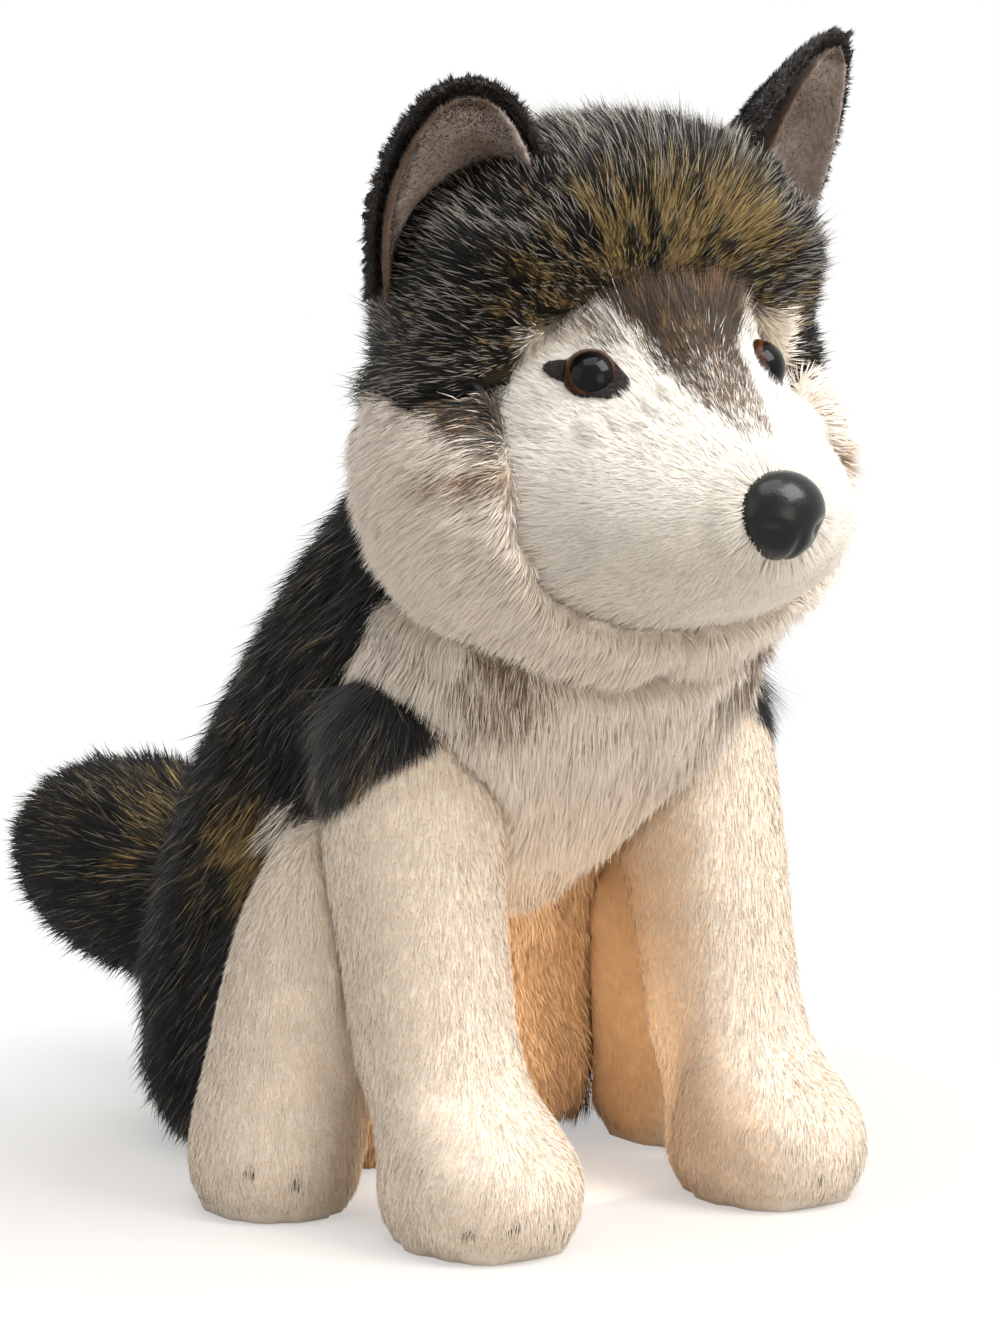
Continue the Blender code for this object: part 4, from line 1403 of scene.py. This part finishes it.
class WOLF_OT_nose(WolfOperator, bpy.types.Operator):
    """Moulded nose with two nostril dimples and a cleft below."""

    bl_idname = "wolf.nose"
    bl_label = "Nose"

    def make(self):
        low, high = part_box("nose")
        middle = Vector(((low[0] + high[0]) / 2, high[1], (low[2] + high[2]) / 2))
        radii = Vector((high[0] - low[0], NOSE_DEPTH, high[2] - low[2])) / 2
        shape = bmesh.new()
        bmesh.ops.create_uvsphere(shape, u_segments=NOSE_SEGMENTS, v_segments=NOSE_SEGMENTS // 2,
                                  radius=1.0)
        for corner in shape.verts:
            corner.co = middle + nose_point(corner.co.copy(), radii)
        piece = mesh_piece("nose_button", shape, nose_plastic())
        dress(piece, "nose")


def nose_point(way, radii):
    """A point of the nose: broad and flat above, narrow below, dimpled at the nostrils."""
    sizes = features()
    breadth = (1.0 + NOSE_BROADER_ABOVE * max(way.z, 0.0)
               - NOSE_NARROWER_BELOW * max(-way.z, 0.0))
    place = Vector((way.x * radii.x * breadth, way.y * radii.y, way.z * radii.z))
    for sign in SIDES.values():
        toward = Vector((sign * NOSTRIL_WAY[0], NOSTRIL_WAY[1], NOSTRIL_WAY[2])).normalized()
        off = way - toward
        off.z *= NOSTRIL_SQUASH
        dip = math.exp(-(off.length * radii.x / sizes.nostril_radius) ** 2)
        place -= way * dip * sizes.nostril_depth
    below = min(max(-way.z - CLEFT_START, 0.0) * 2, 1.0)
    cleft = math.exp(-(way.x * radii.x / CLEFT_WIDTH) ** 2) * below
    return place - way * cleft * CLEFT_DEPTH


def mesh_piece(name, shape, finish):
    """Turn a bmesh into a smooth object of the scene that wears a finish."""
    mesh = bpy.data.meshes.new(name)
    bmesh.ops.recalc_face_normals(shape, faces=shape.faces)
    shape.to_mesh(mesh)
    shape.free()
    mesh.shade_smooth()
    mesh.materials.append(finish)
    return placed(name, mesh)


def close_rings(shape, rows):
    """Faces between rings of corners, the first ring being a single corner in the middle."""
    for spoke in range(len(rows[1])):
        after = (spoke + 1) % len(rows[1])
        shape.faces.new((rows[0][0], rows[1][spoke], rows[1][after]))
        for upper, lower in zip(rows[1:], rows[2:]):
            shape.faces.new((upper[spoke], lower[spoke], lower[after], upper[after]))


def eye_seat(side):
    """Where an eye's middle meets the face and its level, upright and outward directions."""
    across, _, rise = EYE_SPOT
    start = Vector((SIDES[side] * across, -1.0, rise))
    point, normal, _, _ = node_tree_of("face").ray_cast(start, Vector((0, 1, 0)))
    normal = (normal + Vector((0, -features().eye_forward, 0))).normalized()
    level = Vector((0, 0, 1)).cross(normal).normalized()
    return point, level, normal.cross(level), normal


def make_eye(side):
    """One dome, with how far each corner lies from its middle kept for the painted ring."""
    sizes = features()
    point, level, upright, normal = eye_seat(side)
    ball = (sizes.eye_radius ** 2 + sizes.eye_rise ** 2) / (2 * sizes.eye_rise)
    shape = bmesh.new()
    ring_layer = shape.verts.layers.float.new("ring")
    rows = [[shape.verts.new(point + normal * sizes.eye_rise)]]
    for ring in range(1, EYE_RINGS + 1):
        part = ring / EYE_RINGS
        reach = sizes.eye_radius * part
        rise = math.sqrt(ball ** 2 - reach ** 2) - (ball - sizes.eye_rise)
        row = []
        for spoke in range(EYE_SEGMENTS):
            turn = 2 * math.pi * spoke / EYE_SEGMENTS
            corner = shape.verts.new(point + level * (reach * math.cos(turn))
                                     + upright * (reach * math.sin(turn)) + normal * rise)
            corner[ring_layer] = part
            row.append(corner)
        rows.append(row)
    skirt = []
    for corner in rows[-1]:
        low = shape.verts.new(corner.co - normal * EYE_SKIRT)
        low[ring_layer] = 1.0
        skirt.append(low)
    rows.append(skirt)
    close_rings(shape, rows)
    shape.faces.new(list(reversed(skirt)))
    piece = mesh_piece("eye_dome_" + side, shape, eye_plastic())
    dress(piece, "eye_" + side)


def patch_reach(turn):
    """Reach of the almond patch round the eye: a point outwards, a broad corner inwards."""
    outward = max(math.cos(turn), 0.0)
    inward = max(-math.cos(turn - PATCH_CORNER_TURN), 0.0)
    point, point_power = PATCH_POINT
    corner, corner_power = PATCH_CORNER
    return PATCH_ROUND + point * outward ** point_power + corner * inward ** corner_power


def make_patch(side):
    """The almond of suede behind one eye, laid over the face."""
    sizes = features()
    point, level, upright, normal = eye_seat(side)
    if level.x * SIDES[side] < 0:
        level = -level
    shape = bmesh.new()
    face = node_tree_of("face")
    rows = []
    for ring in range(PATCH_RINGS + 1):
        part = ring / PATCH_RINGS
        lift = sizes.patch_thickness * math.sqrt(max(1 - part ** 4, 0.0)) + PATCH_CLEAR
        row = []
        for spoke in range(PATCH_SEGMENTS if ring else 1):
            turn = 2 * math.pi * spoke / PATCH_SEGMENTS
            reach = patch_reach(turn) * part
            tilt = turn + PATCH_TILT
            place = point + level * (reach * math.cos(tilt)) + upright * (reach * math.sin(tilt))
            seat, _, _, _ = face.find_nearest(place)
            row.append(shape.verts.new(seat + normal * lift))
        rows.append(row)
    close_rings(shape, rows)
    piece = mesh_piece("eye_patch_cloth_" + side, shape, pile("black_suede_cloth"))
    if piece.data.polygons[0].normal.dot(normal) < 0:
        piece.data.flip_normals()
    count = len(piece.data.vertices)
    write_markings(piece.data, np.ones(count), np.zeros(count), np.full(count, PATCH_TONE),
                   np.full(count, PATCH_PLACE))
    dress(piece, "eye_patch_" + side)
    return piece


class WOLF_OT_stage(WolfOperator, bpy.types.Operator):
    """Pale floor, soft lamps and the camera."""

    bl_idname = "wolf.stage"
    bl_label = "Stage"

    def make(self):
        make_floor()
        make_world()
        make_lamps()
        make_camera()
        bpy.context.scene.view_settings.view_transform = "Standard"


FLOOR_SEGMENTS = 64
WORLD_TINT = (1.0, 0.94, 0.87, 1.0)
WORLD_STRENGTH = 0.38
PLAIN_WHITE = (1.0, 1.0, 1.0, 1.0)

# Each softbox: azimuth and elevation in degrees, distance, width, watts and tint
SOFTBOXES = {
    "key_softbox": (31.0, 46.0, 1.6, 0.9, 25.5, (1.0, 0.995, 0.99)),
    "fill_softbox": (-95.0, 22.0, 1.8, 1.4, 4.5, (0.98, 0.99, 1.0)),
    "top_softbox": (-30.0, 78.0, 1.5, 1.1, 12.0, (1.0, 1.0, 1.0)),
    "low_softbox": (4.0, 6.0, 1.7, 0.8, 5.0, (1.0, 0.90, 0.78)),
}
CARD_SPOT = (-0.012, -0.142, 0.034)
CARD_TURN = math.radians(100)
CARD_WIDTH = 0.05
CARD_WATTS = 0.040
CARD_TINT = (1.0, 0.80, 0.58)


def picture_rays(tree):
    """One for camera, glossy and transmission rays, so that mirrors show the backdrop too."""
    path = add_node(tree, "ShaderNodeLightPath")
    total = path.outputs["Is Camera Ray"]
    for other in ("Is Glossy Ray", "Is Transmission Ray"):
        node = add_node(tree, "ShaderNodeMath", {"operation": "MAXIMUM"}, total,
                        path.outputs[other])
        total = node.outputs[0]
    return total


def floor_finish():
    """Matt white paper sweep: it keeps the shadow near the toy and fades to plain white."""
    made, tree = empty_material("white_paper_sweep")
    set_of = stage_sizes()
    place = add_node(tree, "ShaderNodeTexCoord")
    gap = add_node(tree, "ShaderNodeVectorMath", {"operation": "LENGTH"}, place.outputs["Object"])
    far = add_node(tree, "ShaderNodeMapRange", None, gap.outputs["Value"],
                   set_of.floor_seen * 0.5, set_of.floor_seen, set_of.floor_lift, 1.0)
    seen = picture_rays(tree)
    factor = add_node(tree, "ShaderNodeMath", MULTIPLIED, far.outputs[0], seen)
    tone = add_node(tree, "ShaderNodeMix",
                    {**MIXED, SHARE: seen, UNDER: paint("floor_bounce"),
                     OVER: paint("floor_white")})
    paper = add_node(tree, "ShaderNodeBsdfDiffuse", {"Color": tone.outputs[RESULT]})
    white = add_node(tree, "ShaderNodeEmission", {"Strength": 1.0})
    shader = add_node(tree, "ShaderNodeMixShader", None, factor.outputs[0], paper.outputs[0],
                      white.outputs[0])
    add_node(tree, "ShaderNodeOutputMaterial", None, shader.outputs[0])
    return made


def make_floor():
    mesh = bpy.data.meshes.new("floor")
    shape = bmesh.new()
    bmesh.ops.create_circle(shape, cap_ends=True, segments=FLOOR_SEGMENTS,
                            radius=stage_sizes().floor_radius)
    shape.to_mesh(mesh)
    shape.free()
    mesh.materials.append(floor_finish())
    floor = placed("floor", mesh)
    floor.location.y = -stage_sizes().aim_ahead


def make_world():
    """White behind the toy, and an even dim light on it from all round."""
    world = bpy.data.worlds.new("studio_air")
    bpy.context.scene.world = world
    world.use_nodes = True
    tree = world.node_tree
    tree.nodes.clear()
    light = add_node(tree, "ShaderNodeBackground", None, WORLD_TINT, WORLD_STRENGTH)
    seen = add_node(tree, "ShaderNodeBackground", None, PLAIN_WHITE)
    both = add_node(tree, "ShaderNodeMixShader", None, picture_rays(tree), light.outputs[0],
                    seen.outputs[0])
    add_node(tree, "ShaderNodeOutputWorld", None, both.outputs[0])


def way_towards(azimuth, elevation):
    """The direction from the toy at two angles; azimuth 0 is straight ahead of it."""
    return Vector((math.sin(azimuth) * math.cos(elevation),
                   -math.cos(azimuth) * math.cos(elevation), math.sin(elevation)))


def aim_from(thing, way, distance):
    """Stand a lamp or the camera at a distance from the middle of the toy, facing it."""
    set_of = stage_sizes()
    thing.location = Vector((0, -set_of.aim_ahead, set_of.aim_height)) + way * distance
    thing.rotation_euler = way.to_track_quat("Z", "Y").to_euler()


def add_lamp(name, width, watts, tint):
    """A square soft lamp, not yet placed."""
    data = bpy.data.lights.new(name, "AREA")
    data.size = width
    data.energy = watts
    data.color = tint
    return placed(name, data)


def make_lamps():
    """A softbox high at the toy's left front, a fill from its right, one above and a low one.

    The warm card between the forelegs stands in for the light that cream pile passes on.
    """
    for name, (azimuth, elevation, distance, *light) in SOFTBOXES.items():
        way = way_towards(math.radians(azimuth), math.radians(elevation))
        aim_from(add_lamp(name, *light), way, distance)
    card = add_lamp("warm_card", CARD_WIDTH, CARD_WATTS, CARD_TINT)
    card.location = CARD_SPOT
    card.rotation_euler = (CARD_TURN, 0.0, 0.0)
    card.visible_camera = False


def make_camera():
    """The photograph's view: from the toy's right front, a little above its middle."""
    set_of = stage_sizes()
    data = bpy.data.cameras.new("camera")
    data.sensor_fit = "VERTICAL"
    data.sensor_height = SENSOR_HEIGHT_MM
    data.lens = SENSOR_HEIGHT_MM * set_of.camera_distance / set_of.frame_height
    camera = placed("camera", data)
    way = way_towards(set_of.camera_azimuth, set_of.camera_elevation)
    aim_from(camera, way, set_of.camera_distance)
    bpy.context.scene.camera = camera


STEPS = (WOLF_OT_body, WOLF_OT_head, WOLF_OT_face, WOLF_OT_ruffs, WOLF_OT_chest, WOLF_OT_legs,
         WOLF_OT_tail, WOLF_OT_ears, WOLF_OT_eyes, WOLF_OT_nose, WOLF_OT_stage)


class WOLF_PT_panel(bpy.types.Panel):
    """The steps that dress the wolf, in order."""

    bl_idname = "WOLF_PT_panel"
    bl_label = "Plush wolf"
    bl_space_type = "VIEW_3D"
    bl_region_type = "UI"
    bl_category = "Plush wolf"

    def draw(self, context):
        for step in STEPS:
            self.layout.operator(step.bl_idname)


SETTINGS = {"wolf_pile": WolfPileSettings, "wolf_colours": WolfColourSettings,
            "wolf_features": WolfFeatureSettings, "wolf_stage": WolfStageSettings}


def register():
    for made in (*SETTINGS.values(), *STEPS, WOLF_PT_panel):
        bpy.utils.register_class(made)
    for name, group in SETTINGS.items():
        setattr(bpy.types.Scene, name, PointerProperty(type=group))


def unregister():
    for name in SETTINGS:
        delattr(bpy.types.Scene, name)
    for made in reversed((*SETTINGS.values(), *STEPS, WOLF_PT_panel)):
        bpy.utils.unregister_class(made)


def main():
    register()
    for step in STEPS:
        group, name = step.bl_idname.split(".")
        getattr(getattr(bpy.ops, group), name)()


if __name__ == "__main__":
    main()
